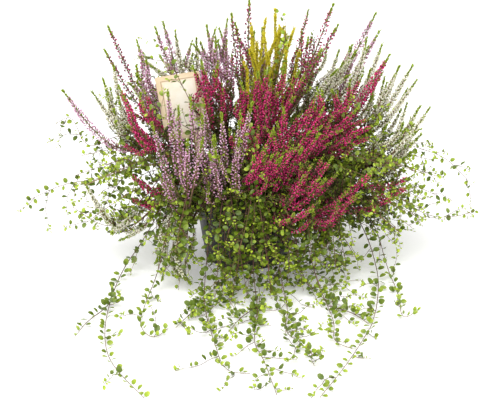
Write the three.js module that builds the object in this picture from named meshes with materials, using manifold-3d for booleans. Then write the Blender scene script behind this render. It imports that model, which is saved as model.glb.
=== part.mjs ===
// A pot of mixed heather with wire vine, for a sill or a table. Millimetres, +Z up.
// The origin is the middle of the pot's flat underside.

import * as THREE from 'three';
import { mergeVertices } from 'three/addons/utils/BufferGeometryUtils.js';
import Module from 'manifold-3d';

// Driving dimensions
const POT_HEIGHT = 112;
const POT_TOP_RADIUS = 70;
const POT_FOOT_RADIUS = 53;
const POT_WALL = 1.6;
const POT_FLOOR = 2.2;
const COLLAR_HEIGHT = 14;
const COLLAR_STEP = 2.6;
const POT_SIDES = 24;
const DRAIN_COUNT = 6;
const DRAIN_RADIUS = 5;
const DRAIN_CIRCLE = 32;
const SOIL_TOP = 105;
const SEAT_GAP = 0.3;
const HOLE_DEPTH = 12;
const FOOT_SPACING = 9.5;
const STAKE_SPACING = 11.5;
const FOOT_CIRCLE = 58;

const LABEL_WIDTH = 54;
const LABEL_HEIGHT = 78;
const LABEL_THICKNESS = 1.2;
const STAKE_WIDTH = 11;
const STAKE_DEPTH = 32;
const STAKE_POINT = 16;
const LABEL_CLIP = 4;
const LABEL_FOOT = [-52, -8];
const PANEL_ASIDE = -12;
const LABEL_LEAN = 9;
const LABEL_TILT = 8;
const PANEL_BOTTOM = 158;

// A stem is walked in steps of this length, and two stems keep this much air between them.
const STEP = 6;
const CLEARANCE = 0.8;
const STEM_RADIUS = 1.8;
const BRANCH_RADIUS = 1.45;
const VINE_RADIUS = 1;
const VINE_FOOT_RADIUS = 1.35;

// Each kind of shoot: how long its flowered spike is, how far the florets reach from the middle of
// the stem, how far apart their whorls are, and how long the green tip above them is.
const KINDS = {
  crimson: { colour: 0xb8174f, spike: 98, reach: 6.6, whorl: 20, tip: 12 },
  lilac: { colour: 0xd3a2c6, spike: 122, reach: 6.6, whorl: 24, tip: 14 },
  white: { colour: 0xe4e6cf, spike: 88, reach: 5.6, whorl: 21, tip: 14 },
  gold: { colour: 0xd2c61c, spike: 105, reach: 4.4, whorl: 26, tip: 6 },
  sparse: { colour: 0xa2305a, spike: 100, reach: 5.6, whorl: 24, tip: 8 },
};
const VINE_COLOUR = 0x6f9030;
const POT_COLOUR = 0x161614;
const SOIL_COLOUR = 0x2c2019;
const LABEL_COLOUR = 0xe8d6b4;

// The heather sprays: flower colour, the points that the stems are drawn towards on their way out of
// the pot, and the tip of each shoot.
const SPRAYS = [
  // left side
  ['lilac', [[-120, -10, 135], [-175, -12, 150]], [[-220, -5, 215]]],
  ['white', [[-85, 10, 130], [-150, 15, 145]],
    [[-176, 28, 220], [-186, 5, 210], [-160, -8, 192], [-165, 45, 235]]],
  ['crimson', [[-75, -35, 140], [-125, -42, 175]],
    [[-150, -30, 228], [-138, -60, 188], [-126, -18, 215]]],
  ['sparse', [[-85, 45, 150], [-135, 60, 185]], [[-170, 58, 277], [-132, 90, 235]]],
  ['lilac', [[-70, 10, 150], [-112, 18, 190]], [[-133, 32, 266], [-121, 8, 254], [-140, -8, 225]]],
  ['lilac', [[-60, 60, 165], [-85, 70, 205]], [[-104, 72, 280], [-70, 95, 250]]],
  ['white', [[-50, 50, 165], [-80, 66, 195]],
    [[-88, 55, 272], [-135, 62, 240], [-66, 38, 250], [-112, 104, 230]]],
  // low on the left, in front
  ['crimson', [[-70, -40, 125], [-105, -55, 95]], [[-140, -62, 132]]],
  ['white', [[-75, -28, 128], [-125, -40, 62], [-165, -42, 48]], [[-196, -40, 112], [-160, -75, 60]]],
  ['white', [[-55, -62, 128], [-92, -82, 60], [-98, -88, 25]], [[-100, -102, 12], [-72, -108, 14]]],
  // front, left of the middle
  ['lilac', [[-45, -70, 135], [-70, -100, 62]], [[-88, -92, 240], [-106, -100, 205], [-66, -110, 188]]],
  ['lilac', [[-28, -75, 135], [-50, -98, 75]], [[-64, -72, 225], [-50, -90, 210], [-80, -68, 180]]],
  ['lilac', [[-20, -72, 140], [-22, -98, 100]],
    [[-28, -98, 215], [6, -88, 224], [-8, -112, 190], [-42, -116, 176]]],
  // middle, in front
  ['crimson', [[10, -62, 145], [12, -90, 130]],
    [[30, -95, 196], [38, -114, 168], [8, -116, 170], [-8, -62, 206]]],
  ['crimson', [[22, -68, 140], [42, -100, 84]], [[97, -100, 164], [88, -122, 146], [74, -130, 112]]],
  ['crimson', [[28, -60, 145], [45, -80, 125]],
    [[82, -88, 188], [88, -60, 210], [62, -104, 176], [42, -74, 214]]],
  ['crimson', [[45, -50, 135], [86, -85, 78]], [[146, -90, 145], [130, -106, 124]]],
  ['crimson', [[58, -38, 130], [122, -58, 80]], [[196, -60, 114], [176, -78, 106]]],
  // middle
  ['crimson', [[-30, 0, 150], [-42, -8, 185]], [[-52, -24, 252], [-34, -6, 250], [-64, -4, 244]]],
  ['lilac', [[-28, 34, 160], [-36, 44, 205]],
    [[-56, 22, 267], [-24, 54, 287], [-38, 34, 270], [-50, 72, 276]]],
  ['sparse', [[-2, 18, 170], [0, 30, 220]], [[3, 36, 316], [-14, 48, 284]]],
  ['gold', [[4, 10, 165], [12, 24, 215]], [[5, 18, 290], [23, 60, 288], [12, 0, 274]]],
  ['gold', [[26, 24, 165], [36, 40, 210]], [[34, 42, 302], [57, 36, 281], [40, 70, 276]]],
  ['lilac', [[10, 50, 165], [22, 72, 205]], [[19, 82, 270], [50, 94, 260], [-14, 88, 262]]],
  ['crimson', [[6, -20, 155], [10, -28, 185]], [[13, -38, 246], [26, -12, 244], [-6, -22, 228]]],
  ['crimson', [[24, -12, 155], [38, -16, 185]], [[44, -16, 248], [62, 4, 236], [54, -40, 216]]],
  ['sparse', [[38, 10, 160], [62, 18, 200]], [[74, 26, 271], [108, 14, 290]]],
  ['crimson', [[45, 30, 160], [68, 45, 205]], [[104, 42, 309], [68, 78, 270]]],
  // right side
  ['white', [[56, 36, 150], [96, 54, 185]],
    [[114, 62, 247], [118, 32, 241], [134, 50, 249], [138, 86, 237]]],
  ['lilac', [[65, 50, 150], [112, 60, 195]], [[158, 66, 292], [132, 107, 240]]],
  ['white', [[65, 18, 145], [132, 26, 166]], [[164, 32, 263], [148, 8, 236]]],
  ['crimson', [[55, 0, 145], [120, -3, 172]], [[169, 0, 257], [122, -14, 229], [100, -28, 222]]],
  ['crimson', [[48, -30, 145], [90, -40, 155]], [[130, -42, 205], [152, -48, 187], [88, -36, 222]]],
  ['white', [[80, 20, 132], [153, 28, 142]], [[187, 42, 232], [199, 14, 240], [176, 66, 204]]],
  ['white', [[88, -4, 124], [172, -2, 112]],
    [[220, -2, 192], [196, 20, 191], [208, -24, 166], [215, 48, 176]]],
  // back
  ['white', [[30, 62, 145], [62, 115, 150]], [[80, 135, 212], [45, 150, 200], [112, 122, 190]]],
  ['crimson', [[0, 66, 145], [0, 120, 150]], [[-6, 130, 222], [28, 122, 230], [-12, 168, 176]]],
  ['lilac', [[-30, 62, 145], [-62, 115, 150]], [[-60, 125, 222], [-95, 135, 190], [-40, 158, 192]]],
  ['white', [[-55, 52, 140], [-118, 98, 140]], [[-150, 105, 190], [-130, 130, 168]]],
  ['crimson', [[58, 52, 140], [118, 98, 140]], [[158, 102, 200], [140, 135, 168]]],
];

// The wire vines: the foot of each stem, the points that it is drawn towards, outward, and those of
// each side stem, which leaves it near its own first point.
const VINES = [
  // left, in the air
  [[-56, -12], [[-80, -14, 135], [-120, -20, 128], [-180, -22, 108], [-225, -20, 102], [-272, -20, 78]],
    [[[-102, -10, 118], [-112, -4, 64], [-116, 2, 14]], [[-150, -16, 112], [-176, -6, 72], [-184, 4, 48]]]],
  [[-50, 22], [[-95, 15, 150], [-150, -8, 165], [-198, 0, 135], [-212, 4, 185], [-232, 0, 172]],
    [[[-88, 34, 116], [-98, 48, 66], [-100, 60, 14]]]],
  [[-52, -32], [[-90, -42, 134], [-125, -45, 92], [-168, -30, 40], [-215, -22, 72]],
    [[[-92, -52, 104], [-100, -60, 56], [-108, -72, 8]]]],
  // left, down to the surface
  [[-46, -38], [[-86, -62, 120], [-125, -50, 40], [-152, -50, 3], [-158, -140, 3], [-156, -215, 3],
    [-142, -280, 3], [-100, -345, 3]], [[[-160, -160, 4], [-178, -190, 3], [-186, -226, 3]]]],
  [[-38, -46], [[-78, -72, 126], [-104, -92, 20], [-116, -140, 3], [-120, -200, 3], [-100, -232, 3],
    [-86, -205, 3]], [[[-72, -88, 98], [-76, -98, 50], [-80, -118, 6]]]],
  // front, over the pot's face and out on the surface
  [[-14, -54], [[-38, -92, 130], [-48, -105, 30], [-50, -150, 3], [-34, -240, 3], [-22, -298, 3],
    [4, -300, 3]], [[[-24, -100, 104], [-20, -108, 56], [-18, -126, 8]], [[-62, -170, 4], [-78, -204, 3]]]],
  [[8, -55], [[10, -100, 130], [6, -112, 30], [14, -170, 3], [6, -235, 3], [18, -270, 3], [30, -340, 3]],
    [[[22, -104, 100], [24, -112, 52], [28, -132, 8]], [[-6, -180, 4], [-20, -214, 3]]]],
  [[22, -50], [[30, -98, 110], [38, -112, 25], [48, -160, 3], [40, -215, 3], [62, -240, 3],
    [70, -285, 3]], [[[54, -96, 92], [60, -106, 46], [66, -124, 8]]]],
  [[40, -40], [[60, -92, 105], [80, -112, 20], [92, -150, 3], [98, -195, 3], [92, -235, 3],
    [112, -250, 3]], [[[86, -72, 98], [96, -78, 50], [104, -88, 8]], [[118, -168, 4], [136, -196, 3]]]],
  // right, down to the surface
  [[54, -18], [[95, -35, 130], [145, -42, 50], [160, -60, 3], [155, -115, 3], [142, -190, 3],
    [105, -280, 3], [72, -345, 3]], [[[104, -44, 98], [112, -50, 50], [122, -58, 8]]]],
  [[56, -4], [[100, -12, 135], [158, -28, 55], [172, -60, 3], [178, -120, 3], [172, -190, 3],
    [196, -160, 3]], [[[110, -14, 104], [124, -14, 60], [134, -10, 14]]]],
  // right, in the air
  [[56, 10], [[100, 5, 130], [170, -5, 95], [222, 0, 50], [262, 0, 48], [286, 0, 58]],
    [[[102, 16, 112], [110, 26, 62], [114, 34, 14]]]],
  [[50, 26], [[95, 25, 145], [165, 20, 150], [215, 15, 135], [248, 10, 125], [280, 0, 92]],
    [[[82, 54, 112], [90, 72, 60], [92, 84, 14]]]],
  // up among the shoots
  [[14, 8], [[24, 0, 170], [38, 22, 230], [50, 34, 285], [40, 44, 300]], []],
  [[-24, -20], [[-45, -42, 165], [-70, -48, 225], [-88, -46, 262], [-116, -36, 262]], []],
  // back, down to the surface
  [[-10, 56], [[-18, 100, 130], [-30, 150, 60], [-60, 175, 3], [-105, 180, 3]],
    [[[-46, 88, 112], [-62, 100, 62], [-70, 108, 14]], [[22, 96, 112], [36, 110, 60], [40, 120, 14]]]],
];

const wasm = await Module();
wasm.setup();
const { Manifold, Mesh } = wasm;

// Small vector helpers on plain triples
const add = (a, b, s = 1) => [a[0] + b[0] * s, a[1] + b[1] * s, a[2] + b[2] * s];
const sub = (a, b) => [a[0] - b[0], a[1] - b[1], a[2] - b[2]];
const scale = (a, s) => [a[0] * s, a[1] * s, a[2] * s];
const dot = (a, b) => a[0] * b[0] + a[1] * b[1] + a[2] * b[2];
const cross = (a, b) => [
  a[1] * b[2] - a[2] * b[1], a[2] * b[0] - a[0] * b[2], a[0] * b[1] - a[1] * b[0],
];
const length = (a) => Math.sqrt(dot(a, a));
const unit = (a) => scale(a, 1 / (length(a) || 1));
const mix = (a, b, t) => [a[0] + (b[0] - a[0]) * t, a[1] + (b[1] - a[1]) * t, a[2] + (b[2] - a[2]) * t];

// A smooth way along a bent line: its corners are cut a few times, then it is walked in even steps.
const CORNER_ROUNDS = 4;

function smoothWay(corners) {
  let line = corners;
  for (let round = 0; round < CORNER_ROUNDS; round += 1) {
    const cut = [line[0]];
    for (let i = 0; i + 1 < line.length; i += 1) {
      if (i > 0) cut.push(mix(line[i], line[i + 1], 0.25));
      if (i + 2 < line.length) cut.push(mix(line[i], line[i + 1], 0.75));
    }
    cut.push(line[line.length - 1]);
    line = cut;
  }
  return evenSteps(line);
}

function evenSteps(line) {
  let total = 0;
  for (let i = 0; i + 1 < line.length; i += 1) total += length(sub(line[i + 1], line[i]));
  const count = Math.max(3, Math.round(total / STEP));
  const stride = total / count;
  const way = [line[0]];
  let walked = 0;
  let next = stride;
  for (let i = 0; i + 1 < line.length && way.length < count; i += 1) {
    const leg = length(sub(line[i + 1], line[i]));
    while (next <= walked + leg && way.length < count) {
      way.push(mix(line[i], line[i + 1], (next - walked) / leg));
      next += stride;
    }
    walked += leg;
  }
  way.push(line[line.length - 1]);
  return way;
}

// The feet of all stems, spread apart over the soil and kept off the label's stake.
const FOOT_ROUNDS = 400;
const TINY = 1e-6;

function spreadFeet(wanted) {
  const feet = wanted.map(([x, y]) => [x, y]);
  for (let round = 0; round < FOOT_ROUNDS; round += 1) {
    for (let i = 0; i < feet.length; i += 1) {
      for (let j = i + 1; j < feet.length; j += 1) {
        const dx = feet[j][0] - feet[i][0];
        const dy = feet[j][1] - feet[i][1];
        const d = Math.sqrt(dx * dx + dy * dy) + TINY;
        if (d >= FOOT_SPACING) continue;
        const s = (0.5 * (FOOT_SPACING - d)) / d;
        feet[i][0] -= dx * s;
        feet[i][1] -= dy * s;
        feet[j][0] += dx * s;
        feet[j][1] += dy * s;
      }
      const sx = feet[i][0] - LABEL_FOOT[0];
      const sy = feet[i][1] - LABEL_FOOT[1];
      const sd = Math.sqrt(sx * sx + sy * sy) + TINY;
      if (sd < STAKE_SPACING) {
        feet[i][0] += (sx * (STAKE_SPACING - sd)) / sd;
        feet[i][1] += (sy * (STAKE_SPACING - sd)) / sd;
      }
      const out = Math.sqrt(feet[i][0] * feet[i][0] + feet[i][1] * feet[i][1]);
      if (out > FOOT_CIRCLE) {
        feet[i][0] *= FOOT_CIRCLE / out;
        feet[i][1] *= FOOT_CIRCLE / out;
      }
    }
  }
  return feet;
}

// A strand is one stem: its way, how far it reaches to the side at each step, what it belongs to and
// where it is held. It rises straight out of the soil, then leans over towards its first point.
const FOOT_STEPS = 4;
const FOOT_SHARE = 0.67;
const STRAIGHT_NECK = 8;
const FIRST_LEAN = 0.12;
const FIRST_RISE = 14;

function stemStart(foot, towards) {
  const low = [foot[0], foot[1], SOIL_TOP - HOLE_DEPTH + SEAT_GAP];
  const high = [foot[0], foot[1], SOIL_TOP + STRAIGHT_NECK];
  return [low, high, add(mix(high, towards, FIRST_LEAN), [0, 0, 1], FIRST_RISE)];
}

// A spike swells over its lowest florets, then grows slimmer up to the green tip.
const SPIKE_SHARE = 0.68;
const GREEN_TIP_REACH = 2.4;
const SWELL_FROM = 0.45;
const SWELL_LENGTH = 30;
const TAPER_TO = 0.5;
const TAPER_LENGTH = 60;

function spikeReach(kind, way) {
  const spec = KINDS[kind];
  const spike = Math.min(spec.spike, (way.length - 1) * STEP * SPIKE_SHARE);
  return way.map((_, i) => {
    const left = (way.length - 1 - i) * STEP;
    if (left > spike) return STEM_RADIUS;
    if (left < spec.tip) return GREEN_TIP_REACH;
    const swell = Math.min(1, SWELL_FROM + (spike - left) / SWELL_LENGTH);
    const taper = Math.min(1, TAPER_TO + (left - spec.tip) / TAPER_LENGTH);
    return spec.reach * swell * taper;
  });
}

// Where a strand's flowers begin, counted in steps from its root.
function firstFloretStep(kind, way) {
  const last = way.length - 1;
  return Math.round(last - Math.min(KINDS[kind].spike / STEP, last * SPIKE_SHARE));
}

// A side shoot leaves the main one at a fork, bends out with it over a few steps and goes to its tip.
const KNEE_STEPS = 6;
const KNEE_PULL = 0.35;
const SHOULDER = 0.3;
const VINE_REACH = 1.8;
const FIRST_FORK = FOOT_STEPS + 2;
const LEAD = 15;

// The step of a vine at which a side stem leaves it, so that it reaches its first point at a slant.
function nearestStep(way, point) {
  let best = FIRST_FORK;
  way.forEach((p, i) => {
    if (i > FIRST_FORK && length(sub(p, point)) < length(sub(way[best], point))) best = i;
  });
  return Math.max(FIRST_FORK, best - Math.round(LEAD / STEP));
}

function makeStrands() {
  const feet = spreadFeet([
    ...SPRAYS.map(([, points]) => scale(points[0], FOOT_SHARE).slice(0, 2)),
    ...VINES.map(([foot]) => foot),
  ]);
  const strands = [];
  SPRAYS.forEach(([kind, points, tips], s) => {
    const main = smoothWay([...stemStart(feet[s], points[0]), ...points, tips[0]]);
    const trunk = strands.length;
    const bare = firstFloretStep(kind, main) - FOOT_STEPS - 2;
    const forks = tips.slice(1).map((_, k) => FOOT_STEPS + 1 + Math.round((bare * (k + 1)) / tips.length));
    strands.push({ owner: s, kind, way: main, root: null, forks, reach: spikeReach(kind, main) });
    tips.slice(1).forEach((tip, k) => {
      const at = forks[k];
      const knee = main[Math.min(at + KNEE_STEPS, main.length - 3)];
      const last = points[points.length - 1];
      const way = smoothWay([main[at], mix(knee, last, KNEE_PULL), mix(last, tip, SHOULDER), tip]);
      strands.push({ owner: s, kind, way, root: { trunk, at }, forks: [], reach: spikeReach(kind, way) });
    });
  });
  VINES.forEach(([, points, sides], v) => {
    const owner = SPRAYS.length + v;
    const reachOf = (way) => way.map(() => VINE_REACH);
    const main = smoothWay([...stemStart(feet[owner], points[0]), ...points]);
    const trunk = strands.length;
    const forks = sides.map((side) => nearestStep(main, side[0]));
    strands.push({ owner, kind: 'vine', way: main, root: null, forks, reach: reachOf(main) });
    sides.forEach((side, k) => {
      const at = forks[k];
      const way = smoothWay([main[at], ...side]);
      strands.push({ owner, kind: 'vine', way, root: { trunk, at }, forks: [], reach: reachOf(way) });
    });
  });
  return { strands, feet };
}

// The label's panel and stake, as a set of points that the stems keep clear of.
const labelTurn = new THREE.Matrix4()
  .makeTranslation(LABEL_FOOT[0], LABEL_FOOT[1], SOIL_TOP)
  .multiply(new THREE.Matrix4().makeRotationX(THREE.MathUtils.degToRad(-LABEL_TILT)))
  .multiply(new THREE.Matrix4().makeRotationY(THREE.MathUtils.degToRad(-LABEL_LEAN)));

const LABEL_REACH = 3.4;
const PANEL_COLUMNS = 8;
const PANEL_ROWS = 12;
const STAKE_STRIDE = 5;
const STAKE_SIDE = 3;

function labelPoints() {
  const onLabel = (u, v) => new THREE.Vector3(u, 0, v).applyMatrix4(labelTurn).toArray();
  const points = [];
  const panelLow = PANEL_BOTTOM - SOIL_TOP;
  for (let i = 0; i <= PANEL_COLUMNS; i += 1) {
    const u = PANEL_ASIDE + LABEL_WIDTH * (i / PANEL_COLUMNS - 0.5);
    for (let j = 0; j <= PANEL_ROWS; j += 1) {
      points.push(onLabel(u, panelLow + (LABEL_HEIGHT * j) / PANEL_ROWS));
    }
  }
  for (let v = 2; v < panelLow; v += STAKE_STRIDE) {
    points.push(onLabel(-STAKE_SIDE, v), onLabel(STAKE_SIDE, v));
  }
  return points;
}

// Stems that would meet are pushed apart a little at a time, each bending smoothly as it goes. They
// also keep off the label, out of the pot's wall and above the surface that the pot stands on.
const ROUNDS = 240;
const LIST_ROUNDS = 8;
const LIST_MARGIN = 7;
const LIST_CELL = 20;
const ROOT_ZONE = 3;
const NOWHERE = 99;

function settle(strands) {
  const points = [];
  strands.forEach((strand, s) => {
    strand.start = points.length;
    strand.way.forEach((p, i) => {
      points.push({ p: [...p], r: strand.reach[i], s, i, owner: strand.owner, fixed: false });
    });
  });
  const moving = points.length;
  labelPoints().forEach((p) => {
    points.push({ p, r: LABEL_REACH, s: -1, i: NOWHERE, owner: -1, fixed: true });
  });
  let pairs = [];
  const push = new Float64Array(moving * 3);
  for (let round = 0; round < ROUNDS; round += 1) {
    if (round % LIST_ROUNDS === 0) pairs = nearPairs(strands, points, moving);
    push.fill(0);
    for (const [a, b] of pairs) {
      const A = points[a];
      const B = points[b];
      const want = A.r + B.r + CLEARANCE;
      const gap = sub(B.p, A.p);
      const d = length(gap) + TINY;
      if (d >= want) continue;
      const share = B.fixed ? 1 : 0.5;
      for (let k = 0; k < 3; k += 1) {
        const move = (gap[k] / d) * (want - d) * share;
        push[a * 3 + k] -= move;
        if (!B.fixed) push[b * 3 + k] += move;
      }
    }
    for (let a = 0; a < moving; a += 1) keepOffPot(points[a], push, a * 3);
    spreadPushes(strands, points, push);
  }
  strands.forEach((strand) => {
    strand.way = strand.way.map((_, i) => points[strand.start + i].p);
  });
  return points;
}

// Whether two steps of one spray lie where its stems still grow out of each other.
function nearFork(strands, A, B) {
  const [from, side] = strands[A.s].root ? [B, A] : [A, B];
  if (side.i <= ROOT_ZONE) return true;
  if (strands[from.s].root) return from.i <= ROOT_ZONE;
  return false;
}

// The pairs of steps that lie close to each other, found through a grid of cells.
function nearPairs(strands, points, moving) {
  const grid = new Map();
  const key = (x, y, z) => `${x},${y},${z}`;
  const cellOf = (p) => p.map((value) => Math.floor(value / LIST_CELL));
  points.forEach((point, index) => {
    const k = key(...cellOf(point.p));
    if (!grid.has(k)) grid.set(k, []);
    grid.get(k).push(index);
  });
  const pairs = [];
  for (let a = 0; a < moving; a += 1) {
    const A = points[a];
    const [x, y, z] = cellOf(A.p);
    for (let i = -1; i <= 1; i += 1) {
      for (let j = -1; j <= 1; j += 1) {
        for (let k = -1; k <= 1; k += 1) {
          for (const b of grid.get(key(x + i, y + j, z + k)) || []) {
            if (b <= a) continue;
            const B = points[b];
            if (A.s === B.s) continue;
            if (A.owner === B.owner && nearFork(strands, A, B)) continue;
            if (length(sub(A.p, B.p)) < A.r + B.r + CLEARANCE + LIST_MARGIN) pairs.push([a, b]);
          }
        }
      }
    }
  }
  return pairs.sort((m, n) => m[0] - n[0] || m[1] - n[1]);
}

// The pot's wall counts as a slanted line of radius and height, thick enough to hold wall and collar.
const WALL_KEEP = 3;
const FLOOR_KEEP = 0.6;

function keepOffPot(point, push, at) {
  const [x, y, z] = point.p;
  const out = Math.sqrt(x * x + y * y) + TINY;
  const floor = point.r + FLOOR_KEEP;
  if (z < floor) push[at + 2] += floor - z;
  if (point.i < FOOT_STEPS) return;
  const along = Math.min(1, Math.max(0, z / POT_HEIGHT));
  const wall = POT_FOOT_RADIUS + (POT_TOP_RADIUS - POT_FOOT_RADIUS) * along;
  const dr = out - (wall - POT_WALL / 2);
  const dz = z - along * POT_HEIGHT;
  const d = Math.sqrt(dr * dr + dz * dz) + TINY;
  const want = point.r + WALL_KEEP;
  if (d < want) {
    push[at] += ((dr / d) * (want - d) * x) / out;
    push[at + 1] += ((dr / d) * (want - d) * y) / out;
    push[at + 2] += (dz / d) * (want - d);
  }
}

// Pushes are spread along their strand, so that a stem bends and doesn't kink. A foot is held, and a
// side shoot's root follows the fork that it grows from.
const SPREAD_ROUNDS = 3;
const PUSH_GAIN = 1.3;
const HELD_STEPS = 4;
const ROOT_STEPS = 5;

function spreadPushes(strands, points, push) {
  for (const strand of strands) {
    const n = strand.way.length;
    let field = [];
    for (let i = 0; i < n; i += 1) {
      const at = (strand.start + i) * 3;
      field.push([push[at], push[at + 1], push[at + 2]]);
    }
    for (let round = 0; round < SPREAD_ROUNDS; round += 1) {
      field = field.map((f, i) => {
        const before = field[Math.max(0, i - 1)];
        const after = field[Math.min(n - 1, i + 1)];
        return [0, 1, 2].map((k) => 0.25 * before[k] + 0.5 * f[k] + 0.25 * after[k]);
      });
    }
    for (let i = 0; i < n; i += 1) {
      const free = strand.root ? i : Math.max(0, i - FOOT_STEPS + 1);
      const gain = PUSH_GAIN * Math.min(1, free / HELD_STEPS);
      points[strand.start + i].p = add(points[strand.start + i].p, field[i], gain);
    }
    if (strand.root) {
      const from = strands[strand.root.trunk];
      const seat = points[from.start + strand.root.at].p;
      const shift = sub(seat, points[strand.start].p);
      for (let i = 0; i < ROOT_STEPS; i += 1) {
        const p = points[strand.start + i];
        p.p = add(p.p, shift, 1 - i / ROOT_STEPS);
      }
    }
  }
}

// What room each step of a strand really has after settling: florets are shortened to fit it.
function trimReach(strands, points) {
  const pairs = nearPairs(strands, points, points.filter((p) => !p.fixed).length);
  const room = points.map((p) => p.r);
  for (const [a, b] of pairs) {
    const A = points[a];
    const B = points[b];
    if (A.owner === B.owner) continue;
    const d = segmentGap(strands, points, a, b);
    const share = (d - CLEARANCE) / (A.r + B.r);
    if (share >= 1) continue;
    room[a] = Math.min(room[a], A.r * share);
    if (!B.fixed) room[b] = Math.min(room[b], B.r * share);
  }
  for (const strand of strands) {
    strand.reach = strand.reach.map((_, i) => room[strand.start + i]);
  }
}

// The shortest way from one step to the other, or to the stem on either side of it.
function segmentGap(strands, points, a, b) {
  const A = points[a];
  const B = points[b];
  let best = length(sub(A.p, B.p));
  if (B.fixed) return best;
  for (const [P, Q] of [[A, B], [B, A]]) {
    const other = strands[Q.s];
    for (const step of [-1, 1]) {
      const j = Q.i + step;
      if (j < 0 || j >= other.way.length) continue;
      const q = points[other.start + j].p;
      const leg = sub(q, Q.p);
      const t = Math.min(1, Math.max(0, dot(sub(P.p, Q.p), leg) / dot(leg, leg)));
      best = Math.min(best, length(sub(P.p, mix(Q.p, q, t))));
    }
  }
  return best;
}

// Frames along a way: a side direction that turns as little as possible from step to step.
function framesAlong(way) {
  const last = way.length - 1;
  const tangents = way.map((_, i) => unit(sub(way[Math.min(i + 1, last)], way[Math.max(i - 1, 0)])));
  let side = [1, 0, 0];
  return tangents.map((t) => {
    side = unit(sub(side, scale(t, dot(side, t))));
    return { t, side, other: cross(t, side) };
  });
}

// A three-sided stem through its sections, closed by a point at its end. Above a section with a floret
// value, each side of the stem is raised to a floret's point, and above one with leaves, a side that
// has one is drawn out into it.
const SIDES = 3;
const FLORET_LIFT = 0.35;

function stemMesh(sections, end) {
  const corners = [];
  const faces = [[2, 1, 0]];
  for (const { p, side, other, radius, turn } of sections) {
    for (let k = 0; k < SIDES; k += 1) {
      const angle = turn + (k * 2 * Math.PI) / SIDES;
      corners.push(add(add(p, side, radius * Math.cos(angle)), other, radius * Math.sin(angle)));
    }
  }
  for (let n = 0; n + 1 < sections.length; n += 1) {
    const { floret, leaves } = sections[n];
    for (let k = 0; k < SIDES; k += 1) {
      const a = n * SIDES + k;
      const b = n * SIDES + ((k + 1) % SIDES);
      const quad = [a, b, b + SIDES, a + SIDES];
      if (floret > 0) raiseFloret(corners, faces, quad, sections[n], sections[n + 1]);
      else if (leaves && leaves[k]) drawOutLeaf(corners, faces, quad, leaves[k]);
      else faces.push([quad[0], quad[1], quad[2]], [quad[0], quad[2], quad[3]]);
    }
  }
  const top = (sections.length - 1) * SIDES;
  const point = corners.length;
  corners.push(end);
  for (let k = 0; k < SIDES; k += 1) faces.push([top + k, top + ((k + 1) % SIDES), point]);
  return { corners, faces };
}

function raiseFloret(corners, faces, quad, low, high) {
  const heart = scale(quad.reduce((sum, q) => add(sum, corners[q]), [0, 0, 0]), 1 / 4);
  const middle = mix(low.p, high.p, 0.5);
  const outward = sub(heart, middle);
  const level = unit(sub(outward, scale(low.t, dot(outward, low.t))));
  const point = corners.length;
  corners.push(add(add(middle, level, low.floret), low.t, low.floret * FLORET_LIFT));
  quad.forEach((q, k) => faces.push([q, quad[(k + 1) % 4], point]));
}

// The outline holds the blade's bottom, right, top and left at its widest, and its tip.
function drawOutLeaf(corners, faces, quad, outline) {
  const first = corners.length;
  corners.push(...outline);
  const tip = first + 4;
  for (let k = 0; k < 4; k += 1) {
    const next = (k + 1) % 4;
    faces.push([quad[k], quad[next], first + k], [quad[next], first + next, first + k]);
    faces.push([first + k, first + next, tip]);
  }
}

function solidOf({ corners, faces }) {
  return new Manifold(new Mesh({
    numProp: 3,
    vertProperties: new Float32Array(corners.flat()),
    triVerts: new Uint32Array(faces.flat()),
  }));
}

// The steps at which a bare stem needs a section, so that no chord strays far from its way.
const STRAY = 0.85;

function bends(way, from, to) {
  let worst = 0;
  let at = -1;
  const leg = sub(way[to], way[from]);
  for (let i = from + 1; i < to; i += 1) {
    const t = dot(sub(way[i], way[from]), leg) / dot(leg, leg);
    const stray = length(sub(way[i], mix(way[from], way[to], t)));
    if (stray > worst) {
      worst = stray;
      at = i;
    }
  }
  if (worst < STRAY) return [from];
  return [...bends(way, from, at), ...bends(way, at, to)];
}

// One shoot: its bare woody stem, then the whorls of florets, then the leafy green tip.
const WHORL_TURN = 0.65;
const ROOT_RADIUS = 0.8;
const TIP_RADIUS = 1.5;
const HEART_SHARE = 0.6;
const LEAST_RAISE = 0.4;
const FLORET_TRIM = 0.2;

function shootSolid(strand) {
  const { way, reach, kind, root, forks } = strand;
  const spec = KINDS[kind];
  const last = way.length - 1;
  const firstFloret = firstFloretStep(kind, way);
  const stemRadius = root ? BRANCH_RADIUS : STEM_RADIUS;
  const knees = root ? [0, ...forks] : [0, 2, FOOT_STEPS, ...forks];
  const frames = framesAlong(way);
  const section = (i, radius, turn = 0, floret = 0) => ({ p: way[i], ...frames[i], radius, turn, floret });
  const bare = knees.flatMap((i, n) => bends(way, i, n + 1 < knees.length ? knees[n + 1] : firstFloret));
  const stations = bare.map((i) => section(i, root && i === 0 ? ROOT_RADIUS : stemRadius));
  const lastFloret = last - spec.tip / STEP;
  const whorls = Math.max(2, Math.round(((lastFloret - firstFloret) * STEP) / spec.whorl));
  for (let n = 0; n < whorls; n += 1) {
    const i = Math.round(firstFloret + ((lastFloret - firstFloret) * n) / whorls);
    const ahead = Math.round(firstFloret + ((lastFloret - firstFloret) * (n + 1)) / whorls);
    const floret = Math.min(...reach.slice(i, ahead + 1)) - FLORET_TRIM;
    const radius = Math.min(stemRadius, HEART_SHARE * floret);
    stations.push(section(i, radius, n * WHORL_TURN, floret > radius + LEAST_RAISE ? floret : 0));
  }
  stations.push(section(Math.round(lastFloret), TIP_RADIUS, whorls * WHORL_TURN));
  return solidOf(stemMesh(stations, way[last]));
}

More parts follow.
